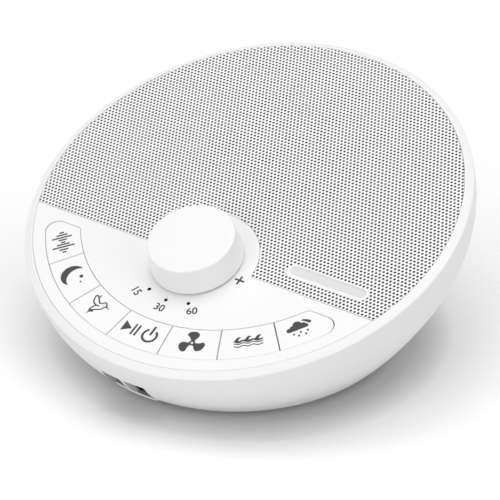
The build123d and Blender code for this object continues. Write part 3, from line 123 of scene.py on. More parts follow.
# ---- camera, light and floor, in metres ----
CAMERA_PLACE = Vector((0.36215, -0.515125, 0.39096))
CAMERA_FORWARD = Vector((-0.497983, 0.708850, -0.499545))
CAMERA_LENS = 170.14
CAMERA_NEAR = 0.01
SENSOR_WIDTH = 36.0
WORLD_STRENGTH = 0.21
LAMP_DISTANCE = 1.5
LAMP_SIZE = 1.0
LAMPS = (                   # name, azimuth from +X and elevation in degrees, and power
    ("top_lamp", 0.0, 90.0, 7.7),
    ("right_lamp", 35.0, 55.0, 3.3),
    ("back_lamp", 125.0, 55.0, 1.6),
    ("left_lamp", 215.0, 55.0, 3.3),
    ("low_right_lamp", -10.0, 25.0, 5.1),
    ("low_front_lamp", -100.0, 25.0, 6.2),
    ("low_left_lamp", 170.0, 25.0, 0.6))
LAMP_AIM = Vector((0.0, 0.0, 0.03))
FLOOR_SIZE = 8.0
FLOOR_ROUGHNESS = 0.9
FLOOR_SPECULAR = 0.1
FLOOR_COLOUR = 0.96         # as the camera sees it
FLOOR_BOUNCE = 0.86         # as it lights the object
FLOOR_PAINTED_SHADOW = 0.60        # its colour as seen right under the object, darkened there as painted shadow
PAINTED_SHADOW_REACH = (0.052, 0.064)      # distances from the origin between which that painted shadow gives way
FLOOR_GLOW = 1.0            # what the camera sees on top of the lit floor, away from the object
GLOW_REACH = (0.055, 0.80)          # distances from the origin between which it comes up

# ---- deck frame ----
knob_joint = next(joint for joint in frame["joints"] if joint["name"] == "knob_turn")
deck_z = Vector(knob_joint["axis"]).normalized()
deck_y = Vector((0.0, deck_z.z, -deck_z.y))
deck_origin = Vector(knob_joint["pos_m"]) - deck_y * KNOB_Y * MM
DECK = Matrix((
    (MM, deck_y.x * MM, deck_z.x * MM, deck_origin.x),
    (0.0, deck_y.y * MM, deck_z.y * MM, deck_origin.y),
    (0.0, deck_y.z * MM, deck_z.z * MM, deck_origin.z),
    (0.0, 0.0, 0.0, 1.0)))


# ---- outlines ----
def polar(radius, angle, centre=(0.0, 0.0)):
    """The point at a distance and an angle from a centre."""
    return centre[0] + radius * cos(angle), centre[1] + radius * sin(angle)


def arc(radius, start, end, centre=(0.0, 0.0), step=CIRCLE_STEP):
    """Points along an arc, both ends included, angles in radians."""
    count = max(2, ceil(abs(end - start) * radius / step))
    return [polar(radius, start + (end - start) * k / count, centre) for k in range(count + 1)]


def circle(x, y, radius, step=CIRCLE_STEP):
    return arc(radius, 0, 2 * pi, (x, y), step)[:-1]


def through(points, closed=False, parts=6):
    """A smooth line through a few points."""
    count = len(points)
    line = []
    for k in range(count if closed else count - 1):
        p1, p2 = Vector(points[k]), Vector(points[(k + 1) % count])
        p0 = Vector(points[k - 1]) if closed or k > 0 else 2 * p1 - p2
        p3 = Vector(points[(k + 2) % count]) if closed or k + 2 < count else 2 * p2 - p1
        for n in range(parts):
            t = n / parts
            line.append(tuple(0.5 * (2 * p1 + (p2 - p0) * t + (2 * p0 - 5 * p1 + 4 * p2 - p3) * t ** 2
                                     + (3 * p1 - p0 - 3 * p2 + p3) * t ** 3)))
    if not closed:
        line.append(tuple(points[-1]))
    return line


def stroke(points, widths):
    """Outline of a line drawn with a pen whose width runs evenly through the given widths."""
    spread = [widths] * 2 if isinstance(widths, (int, float)) else list(widths)
    last = len(points) - 1
    left, right = [], []
    for k, point in enumerate(points):
        before = Vector(points[max(k - 1, 0)])
        after = Vector(points[min(k + 1, last)])
        along = (after - before).normalized()
        place = k / last * (len(spread) - 1)
        low = min(int(place), len(spread) - 2)
        half = (spread[low] + (spread[low + 1] - spread[low]) * (place - low)) / 2
        side = Vector((-along.y, along.x)) * half
        left.append(tuple(Vector(point) + side))
        right.append(tuple(Vector(point) - side))
    return left + right[::-1]


def bar(x_low, x_high, y_low, y_high, lean=0.0):
    """Upright bar, leaning to the left by a share of its height."""
    top, bottom = -lean * y_high, -lean * y_low
    return [(x_low + bottom, y_low), (x_high + bottom, y_low), (x_high + top, y_high), (x_low + top, y_high)]


# ---- pieces ----
def add_object(name, data):
    """A new object in the scene."""
    piece = bpy.data.objects.new(name, data)
    bpy.context.scene.collection.objects.link(piece)
    return piece


def anticlockwise(outline):
    """The outline, turned round if it runs clockwise."""
    turn = sum(x0 * y1 - x1 * y0 for (x0, y0), (x1, y1) in zip(outline, outline[1:] + outline[:1]))
    return outline if turn > 0 else outline[::-1]


def fill(shapes, cuts=()):
    """Corner points and triangles of the shapes less the cuts."""
    points, faces = [], []
    for outline in list(shapes) + list(cuts):
        faces.append(list(range(len(points), len(points) + len(outline))))
        points.extend(Vector(point) for point in anticlockwise(outline))
    corners, _, triangles, _, _, owners = delaunay_2d_cdt(points, [], faces, 1, FILL_TOLERANCE, True)
    first_cut = len(shapes)
    kept = [triangle for triangle, owner in zip(triangles, owners)
            if owner and max(owner) < first_cut]
    return corners, kept


def plate(name, flat, bottom, top, place):
    """A closed plate of the given flat triangles between two heights, put in its place."""
    corners, triangles = flat
    used = sorted({k for triangle in triangles for k in triangle})
    index = {k: n for n, k in enumerate(used)}
    count = len(used)
    points = [(corners[k][0], corners[k][1], top) for k in used]
    points += [(corners[k][0], corners[k][1], bottom) for k in used]
    faces, edges = [], set()
    for triangle in triangles:
        a, b, c = (index[k] for k in triangle)
        (ax, ay, _), (bx, by, _), (cx, cy, _) = points[a], points[b], points[c]
        if (bx - ax) * (cy - ay) < (by - ay) * (cx - ax):
            b, c = c, b
        faces.append((a, b, c))
        faces.append((a + count, c + count, b + count))
        edges.update(((a, b), (b, c), (c, a)))
    for a, b in edges:
        if (b, a) not in edges:
            faces.append((a + count, b + count, b, a))
    mesh = bpy.data.meshes.new(name)
    mesh.from_pydata([place @ Vector(point) for point in points], [], faces)
    mesh.validate()
    return add_object(name, mesh)


def ring_faces(rings, count, closed):
    """Faces between rings of as many points.

    A closed tube meets its first ring again, and an open one has a face at each end.
    """
    faces = []
    for ring in range(rings if closed else rings - 1):
        low, high = ring * count, (ring + 1) % rings * count
        for k in range(count):
            after = (k + 1) % count
            faces.append((low + k, low + after, high + after, high + k))
    if not closed:
        faces.append(tuple(range(count))[::-1])
        faces.append(tuple(range((rings - 1) * count, rings * count)))
    return faces


# ---- materials ----
class Finish:
    """One material whose colour, roughness and relief come from noise measured in millimetres."""

    def __init__(self, slot, colour, roughness, metallic=0.0, specular=0.5):
        self.slot = slot
        self.material = bpy.data.materials.new(slot)
        self.material.use_nodes = True
        self.nodes = self.material.node_tree.nodes
        self.shader = self.nodes["Principled BSDF"]
        self.colour = colour
        self.roughness = roughness
        self.shader.inputs["Base Color"].default_value = (*colour, 1.0)
        self.shader.inputs["Roughness"].default_value = roughness
        self.shader.inputs["Metallic"].default_value = metallic
        self.shader.inputs["Specular IOR Level"].default_value = specular
        self.normal = None
        place = self.nodes.new("ShaderNodeTexCoord")
        self.millimetres = self.nodes.new("ShaderNodeMapping")
        self.millimetres.inputs["Scale"].default_value = (1 / MM, 1 / MM, 1 / MM)
        self.link(place.outputs["Object"], self.millimetres.inputs["Vector"])

    def link(self, start, end):
        self.material.node_tree.links.new(start, end)

    def noise(self, size, detail=2.0, stretch=None):
        """Noise with features of about the given size in millimetres."""
        texture = self.nodes.new("ShaderNodeTexNoise")
        texture.inputs["Scale"].default_value = 1 / size
        texture.inputs["Detail"].default_value = detail
        source = self.millimetres
        if stretch:
            source = self.nodes.new("ShaderNodeMapping")
            source.inputs["Scale"].default_value = stretch
            self.link(self.millimetres.outputs["Vector"], source.inputs["Vector"])
        self.link(source.outputs["Vector"], texture.inputs["Vector"])
        return texture.outputs["Fac"]

    def ramp(self, value, low, high, start=0.3, end=0.7):
        """Goes from low to high as the value goes from start to end."""
        node = self.nodes.new("ShaderNodeMapRange")
        node.inputs["From Min"].default_value = start
        node.inputs["From Max"].default_value = end
        node.inputs["To Min"].default_value = low
        node.inputs["To Max"].default_value = high
        self.link(value, node.inputs["Value"])
        return node.outputs["Result"]

    def blend(self, share, first, second):
        """Colour that goes from the first to the second."""
        node = self.nodes.new("ShaderNodeMix")
        node.data_type = "RGBA"
        node.inputs["A"].default_value = (*first, 1.0)
        node.inputs["B"].default_value = (*second, 1.0)
        self.link(share, node.inputs["Factor"])
        self.link(node.outputs["Result"], self.shader.inputs["Base Color"])
        return self

    def mottle(self, size, spread, tint=(1.0, 1.0, 1.0), detail=3.0):
        """Colour that drifts by a share of itself."""
        dark = [channel * (1 - spread) for channel in self.colour]
        light = [min(1.0, channel * (1 + spread) * share) for channel, share in zip(self.colour, tint)]
        return self.blend(self.ramp(self.noise(size, detail), 0.0, 1.0), dark, light)

    def polish(self, size, spread, stretch=None):
        """Roughness that drifts up and down."""
        value = self.ramp(self.noise(size, 3.0, stretch), self.roughness - spread, self.roughness + spread)
        self.link(value, self.shader.inputs["Roughness"])
        return self

    def relief(self, size, depth, detail=2.0, stretch=None):
        """Raised and sunk grain, its depth in millimetres."""
        node = self.nodes.new("ShaderNodeBump")
        node.inputs["Strength"].default_value = 1.0
        node.inputs["Distance"].default_value = depth * MM
        self.link(self.noise(size, detail, stretch), node.inputs["Height"])
        if self.normal:
            self.link(self.normal, node.inputs["Normal"])
        self.normal = node.outputs["Normal"]
        self.link(self.normal, self.shader.inputs["Normal"])
        return self


def white_shell():
    """Moulded white plastic with a fine spark-eroded grain and soft flow marks."""
    finish = Finish("white_shell", (0.86, 0.86, 0.857), 0.42)
    return finish.mottle(26.0, 0.006).polish(3.0, 0.05).relief(0.45, 0.008).relief(9.0, 0.02)


def white_cover():
    finish = Finish("white_cover", (0.82, 0.82, 0.815), 0.55)
    return finish.mottle(14.0, 0.012).polish(2.0, 0.06).relief(0.7, 0.03)


def white_panel():
    finish = Finish("white_panel", (0.87, 0.87, 0.868), 0.36)
    return finish.mottle(30.0, 0.005).polish(5.0, 0.04).relief(0.5, 0.004).relief(14.0, 0.015)


def white_key():
    finish = Finish("white_key", (0.88, 0.88, 0.878), 0.34)
    return finish.mottle(12.0, 0.005).polish(3.5, 0.04).relief(0.5, 0.003)


def white_knob():
    finish = Finish("white_knob", (0.88, 0.88, 0.878), 0.30)
    return finish.mottle(16.0, 0.004).polish(6.0, 0.012).relief(0.4, 0.003)


def white_mesh():
    """White powder coat on punched sheet, with its slight orange peel."""
    finish = Finish("white_mesh", (0.88, 0.88, 0.876), 0.46)
    return finish.mottle(8.0, 0.010).polish(1.5, 0.06).relief(0.35, 0.010)


def badge_paint():
    """White rim round a dish painted pale grey as shade in its hollow."""
    finish = Finish("badge", (0.88, 0.88, 0.88), 0.34)
    finish.polish(1.2, 0.05, (0.15, 1.0, 1.0)).relief(0.3, 0.004)
    height = finish.nodes.new("ShaderNodeVectorMath")
    height.operation = "DOT_PRODUCT"
    finish.link(finish.millimetres.outputs["Vector"], height.inputs[0])
    up = (DECK @ Vector((0, 0, 1)) - DECK @ Vector()).normalized()
    height.inputs[1].default_value = up
    deck = (DECK @ Vector()).dot(up) / MM
    # painted shade: the colour darkens below the rim, down into the dish
    share = finish.ramp(height.outputs["Value"], 0.0, 1.0, deck + PAINTED_SHADE_HEIGHTS[0], deck + PAINTED_SHADE_HEIGHTS[1])
    return finish.blend(share, DISH_PAINTED_SHADE, finish.colour)


def ink():
    """Pad-printed dark grey ink, a little uneven in tone."""
    finish = Finish("print", (0.046, 0.046, 0.048), 0.55, specular=0.3)
    return finish.mottle(0.8, 0.10).polish(0.5, 0.08).relief(0.15, 0.004)


def black_plastic():
    finish = Finish("black_plastic", (0.014, 0.014, 0.015), 0.62)
    return finish.mottle(4.0, 0.15).polish(1.5, 0.08).relief(0.5, 0.02)


def rubber():
    finish = Finish("rubber", (0.028, 0.028, 0.029), 0.78)
    return finish.mottle(1.5, 0.2, (1.05, 1.0, 0.96)).polish(0.8, 0.08).relief(0.3, 0.03)


def plated(slot, colour, roughness):
    """Bright metal with fine drawing lines."""
    finish = Finish(slot, colour, roughness, metallic=1.0)
    finish.mottle(1.5, 0.06).polish(0.4, 0.07, (0.2, 1.0, 1.0))
    return finish.relief(0.2, 0.004, 2.0, (0.1, 1.0, 1.0))


def steel():
    return plated("steel", (0.58, 0.58, 0.58), 0.32)


def zinc():
    finish = plated("zinc", (0.60, 0.61, 0.60), 0.42)
    return finish.relief(2.5, 0.02)


def brass():
    return plated("brass", (0.72, 0.58, 0.32), 0.30)


def usb_steel():
    return plated("usb_steel", (0.62, 0.62, 0.63), 0.28)


def painted_steel():
    finish = Finish("painted_steel", (0.022, 0.022, 0.023), 0.45)
    return finish.mottle(3.0, 0.15).polish(1.5, 0.07).relief(0.4, 0.012)


def ferrite():
    finish = Finish("ferrite", (0.040, 0.040, 0.044), 0.66)
    return finish.mottle(0.8, 0.3).polish(0.5, 0.1).relief(0.3, 0.03, 4.0)


def copper():
    """Enamelled wire wound side by side."""
    finish = Finish("copper", (0.70, 0.36, 0.20), 0.30, metallic=1.0)
    return finish.mottle(0.6, 0.1).polish(0.6, 0.08).relief(0.18, 0.05, 1.0, (0.05, 0.05, 1.0))


def paper_cone():
    """Pressed black paper pulp."""
    finish = Finish("paper_cone", (0.030, 0.030, 0.031), 0.85)
    return finish.mottle(0.9, 0.3).polish(1.0, 0.05).relief(0.5, 0.06, 5.0)


def spider_cloth():
    finish = Finish("spider_cloth", (0.45, 0.30, 0.12), 0.80)
    return finish.mottle(0.7, 0.15, (1.05, 1.0, 0.9)).polish(0.6, 0.06).relief(0.35, 0.08, 1.0)


def foam():
    finish = Finish("foam", (0.025, 0.025, 0.025), 0.92)
    return finish.mottle(0.5, 0.3).polish(0.5, 0.04).relief(0.3, 0.10, 3.0)


def lens():
    """Smoked light guide with a soft gloss."""
    finish = Finish("lens", (0.006, 0.006, 0.007), 0.22, specular=0.25)
    return finish.mottle(0.5, 0.2).polish(0.4, 0.05)


def led():
    finish = Finish("led", (0.80, 0.72, 0.45), 0.25)
    return finish.mottle(0.5, 0.06).polish(0.4, 0.06)


def board_green():
    """Solder mask over copper tracks."""
    finish = Finish("board_green", (0.012, 0.090, 0.036), 0.34)
    return finish.mottle(1.8, 0.22, (1.1, 1.25, 1.0)).polish(1.0, 0.06).relief(1.0, 0.02, 1.0)


def switch_black():
    finish = Finish("switch_black", (0.022, 0.022, 0.022), 0.5)
    return finish.mottle(1.0, 0.15).polish(0.6, 0.08).relief(0.25, 0.01)


def port_black():
    finish = Finish("port_black", (0.016, 0.016, 0.016), 0.36)
    return finish.mottle(0.8, 0.2).polish(0.6, 0.06).relief(0.2, 0.006)


def chip_black():
    finish = Finish("chip_black", (0.018, 0.018, 0.019), 0.6)
    return finish.mottle(0.5, 0.25).polish(0.4, 0.07).relief(0.15, 0.02)


def can_sleeve():
    finish = Finish("can_sleeve", (0.014, 0.016, 0.05), 0.28)
    return finish.mottle(1.5, 0.15).polish(0.8, 0.06).relief(1.5, 0.03)


def nylon():
    finish = Finish("nylon", (0.74, 0.72, 0.62), 0.45)
    return finish.mottle(1.0, 0.04, (1.0, 1.0, 0.95)).polish(0.8, 0.06).relief(0.5, 0.02)


def wire_sleeve():
    finish = Finish("wire_sleeve", (0.30, 0.015, 0.015), 0.45)
    return finish.mottle(1.0, 0.12).polish(0.6, 0.08).relief(0.6, 0.02)


def ribbon():
    """Grey flat cable with a ridge over each wire."""
    finish = Finish("ribbon", (0.48, 0.48, 0.50), 0.5)
    return finish.mottle(1.2, 0.06).polish(0.8, 0.06).relief(0.6, 0.10, 0.0, (1.0, 0.02, 0.02))


FINISHES = (
    white_shell, white_cover, white_panel, white_key, white_knob, white_mesh, badge_paint, ink,
    black_plastic, rubber, steel, zinc, brass, usb_steel, painted_steel, ferrite, copper, paper_cone,
    spider_cloth, foam, lens, led, board_green, switch_black, port_black, chip_black, can_sleeve, nylon,
    wire_sleeve, ribbon)
materials = {}
for make in FINISHES:
    finish = make()
    materials[finish.slot] = finish.material


def dress_cad_nodes():
    """Every solid gets the finish of its slot in the record."""
    slots = {part["node"]: part["material_slot"] for part in frame["record"]["subparts"]}
    for name, node in frame["nodes"].items():
        for holder in node.material_slots:
            holder.material = materials[slots[name]]


def dress(piece, slot, body):
    """A made piece gets its finish, its slot and the body that it rides on."""
    piece.data.materials.append(materials[slot])
    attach(piece, body)


# ---- panel ----
def close_fitting_panel():
    """The panel with its round edge nearer to the rim, for a seam as fine as a moulded one."""
    solid = frame["nodes"]["control_panel"]
    mesh = solid.data.copy()
    to_deck = DECK.inverted() @ solid.matrix_world
    from_deck = to_deck.inverted()
    for vertex in mesh.vertices:
        place = to_deck @ vertex.co
        if hypot(place.x, place.y) > DECK_RADIUS - EDGE_TOLERANCE:
            growth = SEEN_RADIUS / DECK_RADIUS
            vertex.co = from_deck @ Vector((place.x * growth, place.y * growth, place.z))
    panel = add_object("panel_skin", mesh)
    panel.matrix_world = solid.matrix_world
    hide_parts("control_panel")
    mesh.materials.clear()
    dress(panel, "white_panel", "housing")


# ---- grille ----
def grille_edge():
    """Outline of the grille, anticlockwise from the right end of its straight edge."""
    line = PANEL_LINE + TIGHT_SEAM
    lobe = LOBE_RADIUS + TIGHT_SEAM
    low = atan2(line, sqrt(SEEN_RADIUS ** 2 - line ** 2))
    rim = arc(SEEN_RADIUS, low, pi - low, step=ARC_STEP)
    reach = sqrt(lobe ** 2 - (line - KNOB_Y) ** 2)
    start = atan2(line - KNOB_Y, -reach)
    return rim + arc(lobe, start, pi - start, (0.0, KNOB_Y), ARC_STEP)


def hole_places():
    """Centres of the staggered holes that touch the grille. Those cut by its edge are included."""
    rows = int((DECK_RADIUS - FIRST_ROW) / ROW_PITCH) + 1
    across = int(DECK_RADIUS / HOLE_PITCH) + 1
    places = []
    for row in range(rows):
        y = FIRST_ROW + row * ROW_PITCH
        shift = FIRST_SHIFT + 0.5 * (row % 2)
        for n in range(-across - 1, across + 1):
            x = (n + shift) * HOLE_PITCH
            if hypot(x, y) < SEEN_RADIUS + HOLE_RADIUS and hypot(x, y - KNOB_Y) > LOBE_RADIUS:
                places.append((x, y))
    return places


def cut_at(outline, line, above):
    """The part of a closed outline on one side of a line of constant y."""
    kept = []
    for (x0, y0), (x1, y1) in zip(outline, outline[1:] + outline[:1]):
        if (y0 > line) == above:
            kept.append((x0, y0))
        if (y0 > line) != (y1 > line):
            kept.append((x0 + (x1 - x0) * (line - y0) / (y1 - y0), line))
    return kept


def badge_ring(inset, shift=0.0):
    """The badge's outline, drawn in and moved towards the back, always with as many points."""
    x, y = BADGE_CENTRE[0], BADGE_CENTRE[1] + shift
    half = (BADGE_LENGTH - BADGE_WIDTH) / 2
    radius = BADGE_WIDTH / 2 - inset
    turns = [pi * (k / BADGE_SIDES - 0.5) for k in range(BADGE_SIDES + 1)]
    right = [polar(radius, turn, (x + half, y)) for turn in turns]
    left = [polar(radius, turn + pi, (x - half, y)) for turn in turns]
    return right + left


def perforated_grille():
    """The sheet in two pieces, with every hole a real one."""
    edge = grille_edge()
    split = FIRST_ROW + SPLIT_ROW * ROW_PITCH
    slot = badge_ring(BADGE_OVERLAP)
    side = 2 * HOLE_RADIUS * sin(pi / HOLE_SIDES)
    places = hole_places()
    for name, above in (("speaker_grille_near", False), ("speaker_grille_far", True)):
        holes = [circle(x, y, HOLE_RADIUS, side) for x, y in places if (y > split) == above]
        cuts = holes if above else holes + [slot]
        sheet = plate(name, fill([cut_at(edge, split, above)], cuts), -SHEET_THICKNESS, 0.0, DECK)
        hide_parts("speaker_grille")
        dress(sheet, "white_mesh", "housing")


def dished_badge():
    """Bare pressed plate whose rim lies on the sheet and whose face is dished."""
    points = []
    for inset, height, shift in BADGE_PROFILE:
        ring = badge_ring(inset, shift)
        points += [DECK @ Vector((x, y, height)) for x, y in ring]
    mesh = bpy.data.meshes.new("badge_plate")
    mesh.from_pydata(points, [], ring_faces(len(BADGE_PROFILE), len(ring), closed=False))
    mesh.shade_smooth()
    badge = add_object("badge_plate", mesh)
    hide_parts("badge")
    dress(badge, "badge", "housing")


# ---- windows of the sockets ----
def bowl_side(z):
    """The bowl's outside at one height, as y for an x, through points beside and between the windows."""
    left = PORT_CENTRES[0] - PORT_WIDTH / 2 - PORT_ROUND
    right = PORT_CENTRES[1] + PORT_WIDTH / 2 + PORT_ROUND
    middle = (PORT_CENTRES[0] + PORT_CENTRES[1]) / 2
    places = []
    for x in (left, middle, right):
        start = Vector((x, -DECK_RADIUS * 2, z)) * MM
        _, place, _, _ = frame["nodes"]["body_shell"].ray_cast(start, Vector((0.0, 1.0, 0.0)))
        places.append((x, place.y / MM))
    (x0, y0), (x1, y1), (x2, y2) = places

    def side(x):
        """The parabola through the three points."""
        first = y0 * (x - x1) * (x - x2) / ((x0 - x1) * (x0 - x2))
        second = y1 * (x - x0) * (x - x2) / ((x1 - x0) * (x1 - x2))
        third = y2 * (x - x0) * (x - x1) / ((x2 - x0) * (x2 - x1))
        return first + second + third
    return side


def window_outline(centre, inset):
    """A window's outline, drawn in, as x and z."""
    half = PORT_WIDTH / 2 - inset
    radius = PORT_ROUND - inset
    low, high = PORT_BOTTOM + inset, PORT_TOP - inset
    corners = ((half - radius, low + radius, -pi / 2), (half - radius, high - radius, 0.0),
               (radius - half, high - radius, pi / 2), (radius - half, low + radius, pi))
    outline = []
    for x, z, start in corners:
        turns = [start + pi / 2 * k / CORNER_SIDES for k in range(CORNER_SIDES + 1)]
        outline += [polar(radius, turn, (centre + x, z)) for turn in turns]
    return outline


def tube_mesh(name, rings, closed):
    """A tube through rings of points in the world's axes, in millimetres, with its faces outwards."""
    points = [Vector(point) * MM for ring in rings for point in ring]
    mesh = bpy.data.meshes.new(name)
    mesh.from_pydata(points, [], ring_faces(len(rings), len(rings[0]), closed))
    bm = bmesh.new()
    bm.from_mesh(mesh)
    bmesh.ops.recalc_face_normals(bm, faces=bm.faces)
    bm.to_mesh(mesh)
    bm.free()
    return add_object(name, mesh)


def port_shade_inserts():
    """Dark inserts that line the two windows behind their edge, put there as painted shade deep in the windows."""
    for side, centre in zip(("left", "right"), PORT_CENTRES):
        outer = window_outline(centre, INSERT_GAP)
        inner = window_outline(centre, INSERT_GAP + INSERT_WALL)
        # a dark lining put in as painted shade inside the window
        front = [[(x, bowl_side(z)(x) + INSERT_DEPTH, z) for x, z in outline] for outline in (outer, inner)]
        back = [[(x, PORT_BACK, z) for x, z in outline] for outline in (inner, outer)]
        insert = tube_mesh("port_shade_insert_" + side, front + back, closed=True)
        dress(insert, "port_black", "housing")


def port_lip():
    """A rounded lip under both windows, proud of the bowl."""
    side = bowl_side(LIP_HEIGHT)
    start = PORT_CENTRES[0] - PORT_WIDTH / 2
    length = PORT_CENTRES[1] + PORT_WIDTH / 2 - start
    rings = []
    for k in range(LIP_PARTS + 1):
        share = k / LIP_PARTS
        fullness = sqrt(1 - (2 * share - 1) ** LIP_BLUNTNESS)
        radius = LIP_RADIUS * max(LIP_END_SHARE, fullness)
        x = start + length * share
        middle = (side(x) - LIP_STAND, LIP_HEIGHT)
        rings.append([(x, *polar(radius, 2 * pi * n / LIP_SIDES, middle)) for n in range(LIP_SIDES)])
    lip = tube_mesh("port_lip", rings, closed=False)
    lip.data.shade_smooth()
    dress(lip, "white_shell", "housing")


# ---- symbols on the keys: x to the right, y away from the user, origin in the key's middle ----
def wave_symbol():
    """Nine bars of a sound wave: place, middle, half height."""
    bars = ((-2.67, -0.33, 0.73), (-1.69, -0.27, 1.73), (-0.62, -0.33, 3.12), (0.38, -0.13, 1.33),
            (1.45, 0.0, 0.66), (2.35, 0.0, 2.0), (3.36, 0.0, 3.45), (4.50, 0.07, 1.39), (5.56, 0.2, 0.6))
    half = 0.29
    return [bar(x - half, x + half, y - reach, y + reach, lean=0.05) for x, y, reach in bars], []


def moon_symbol():
    """A crescent between two round edges, with two stars in its arms."""
    middle, shade = Vector((-0.62, 0.05)), Vector((1.5, 1.35))
    radius, shade_radius = 3.85, 4.0
    apart = shade - middle
    turn = atan2(apart.y, apart.x)
    reach = (radius ** 2 - shade_radius ** 2 + apart.length_squared) / (2 * apart.length)
    outer = acos(reach / radius)
    inner = acos((apart.length - reach) / shade_radius)
    crescent = arc(radius, turn + outer, turn + 2 * pi - outer, middle)
    crescent += arc(shade_radius, turn + pi + inner, turn + pi - inner, shade)[1:-1]
    return [crescent, circle(1.05, 2.18, 0.60), circle(2.96, 1.19, 0.32)], []


def bird_symbol():
    """A small bird on the wing, drawn in outline with a filled tail."""
    pen = 0.46
    lines = (
        ((-5.1, 2.9), (-4.2, 2.8), (-3.5, 2.4), (-2.9, 2.0),
         (-2.2, 1.6), (-1.6, 1.5), (-1.2, 1.9), (-1.0, 2.3)),
        ((-3.95, 3.7), (-3.8, 3.2), (-3.9, 2.7)),
        ((-1.0, 2.3), (-0.6, 2.7), (-0.2, 2.75), (0.2, 2.6), (0.5, 2.2), (0.9, 1.8)),
        ((0.9, 1.8), (0.65, 1.5), (0.4, 1.0), (0.4, 0.5),
         (0.1, 0.0), (-0.5, -0.5), (-1.0, -0.9), (-1.5, -1.4)),
        ((-5.1, 2.9), (-5.0, 2.2), (-4.7, 1.6), (-4.3, 1.0),
         (-3.8, 0.6), (-3.2, 0.35), (-2.6, 0.3), (-2.2, 0.2)),
        ((-2.2, 0.2), (-1.7, 0.45), (-1.2, 0.6)),
        ((-2.2, 0.2), (-2.5, -0.6), (-2.6, -1.3), (-2.7, -2.1)),
    )
    shapes = [stroke(through(line), pen) for line in lines]
    shapes.append(stroke([(0.7, 1.85), (2.4, 1.7)], (0.6, 0.1)))
    shapes.append([(-2.7, -2.1), (-2.3, -3.0), (-2.05, -4.0), (-1.9, -2.9), (-1.5, -2.4), (-0.95, -2.0),
                   (-1.4, -1.2), (-1.9, -1.5)])
    shapes.append(circle(-0.3, 1.75, 0.2))
    return shapes, []


def power_symbol():
    """Play, pause and the power sign."""
    centre = (3.33, 0.13)
    gap = radians(34.0)
    ring = arc(2.24, pi / 2 + gap, 5 * pi / 2 - gap, centre)
    return [[(-6.38, 2.39), (-6.38, -1.54), (-3.33, 0.35)], bar(-2.85, -2.21, -1.73, 2.33),
            bar(-1.53, -0.89, -1.73, 2.33), stroke(ring, 0.74), bar(2.97, 3.69, 0.32, 3.77)], []


def fan_symbol():
    """Three blades round a hub with a hole."""
    blade = through(((-0.1, 1.0), (-0.9, 2.2), (-1.9, 3.1), (-1.9, 3.7), (-1.4, 4.3), (-0.3, 4.6), (0.7, 4.5),
                     (1.5, 3.9), (1.7, 3.2), (1.4, 2.4), (0.9, 1.7), (0.6, 1.0)), closed=True, parts=4)
    hub = Vector((0.15, 0.45))
    shapes = []
    for turn in (0.0, 2 * pi / 3, -2 * pi / 3):
        spin = Matrix.Rotation(turn, 2)
        shapes.append([tuple(hub + spin @ (Vector(point) - hub)) for point in blade])
    shapes.append(circle(*hub, 0.95))
    return shapes, [circle(*hub, 0.38)]


def ocean_symbol():
    """Three curling waves over two rippled lines."""
    swell = [(-4.2, 0.95), (-2.8, 0.5), (-1.4, 0.95), (0.1, 0.5), (1.5, 0.95), (3.0, 0.5), (4.5, 0.9)]
    shapes = [stroke(through(swell), (0.4, 0.85, 0.6, 0.85, 0.6, 0.85, 0.35))]
    for lower in (0.85, 1.85):
        line = [(x, y - lower) for x, y in swell]
        shapes.append(stroke(through(line), 0.36))
    for x in (-3.0, 0.0, 3.0):
        curl = through(((x - 0.55, 0.7), (x - 0.15, 1.5), (x + 0.35, 2.1), (x + 1.0, 2.0)))
        shapes.append(stroke(curl, (1.15, 0.95, 0.65, 0.2)))
    return shapes, []


def rain_symbol():
    """A cloud with the edge of another behind it, over five drops."""
    cloud = [circle(-4.6, 0.8, 0.8), circle(-3.4, 1.3, 0.85), circle(-1.8, 1.9, 1.35), circle(-0.2, 1.1, 1.0),
             circle(0.6, 0.65, 0.65), bar(-4.6, 0.6, 0.0, 1.1)]
    behind = through(((-0.2, 2.9), (0.4, 3.2), (1.0, 2.9), (1.7, 2.5), (2.4, 1.8), (2.3, 1.3), (1.8, 1.05),
                      (1.3, 1.5), (0.4, 2.5)), closed=True, parts=4)
    drops = [stroke([(x + 0.12, y + 0.34), (x - 0.08, y - 0.34)], (0.46, 0.66))
             for x, y in ((-3.75, -1.1), (-1.65, -1.1), (0.45, -1.25), (-2.55, -2.15), (-0.45, -2.3))]
    return cloud + [behind] + drops, []


SYMBOLS = (wave_symbol, moon_symbol, bird_symbol, power_symbol, fan_symbol, ocean_symbol, rain_symbol)


def key_place(number):
    """From a key's own frame to the world."""
    angle = radians((number - (len(KEY_NAMES) - 1) / 2) * KEY_PITCH)
    middle = Vector((KEY_MIDDLE * sin(angle), -KEY_MIDDLE * cos(angle), 0.0))
    return DECK @ Matrix.Translation(middle) @ Matrix.Rotation(angle, 4, "Z")


def print_keys():
    """Each key's symbol rides on its key."""
    for number, (name, symbol) in enumerate(zip(KEY_NAMES, SYMBOLS)):
        shapes, cuts = symbol()
        mark = plate("print_" + name, fill(shapes, cuts), INK_BOTTOM, INK_TOP, key_place(number))
        dress(mark, "print", "key_" + name + "_cap")


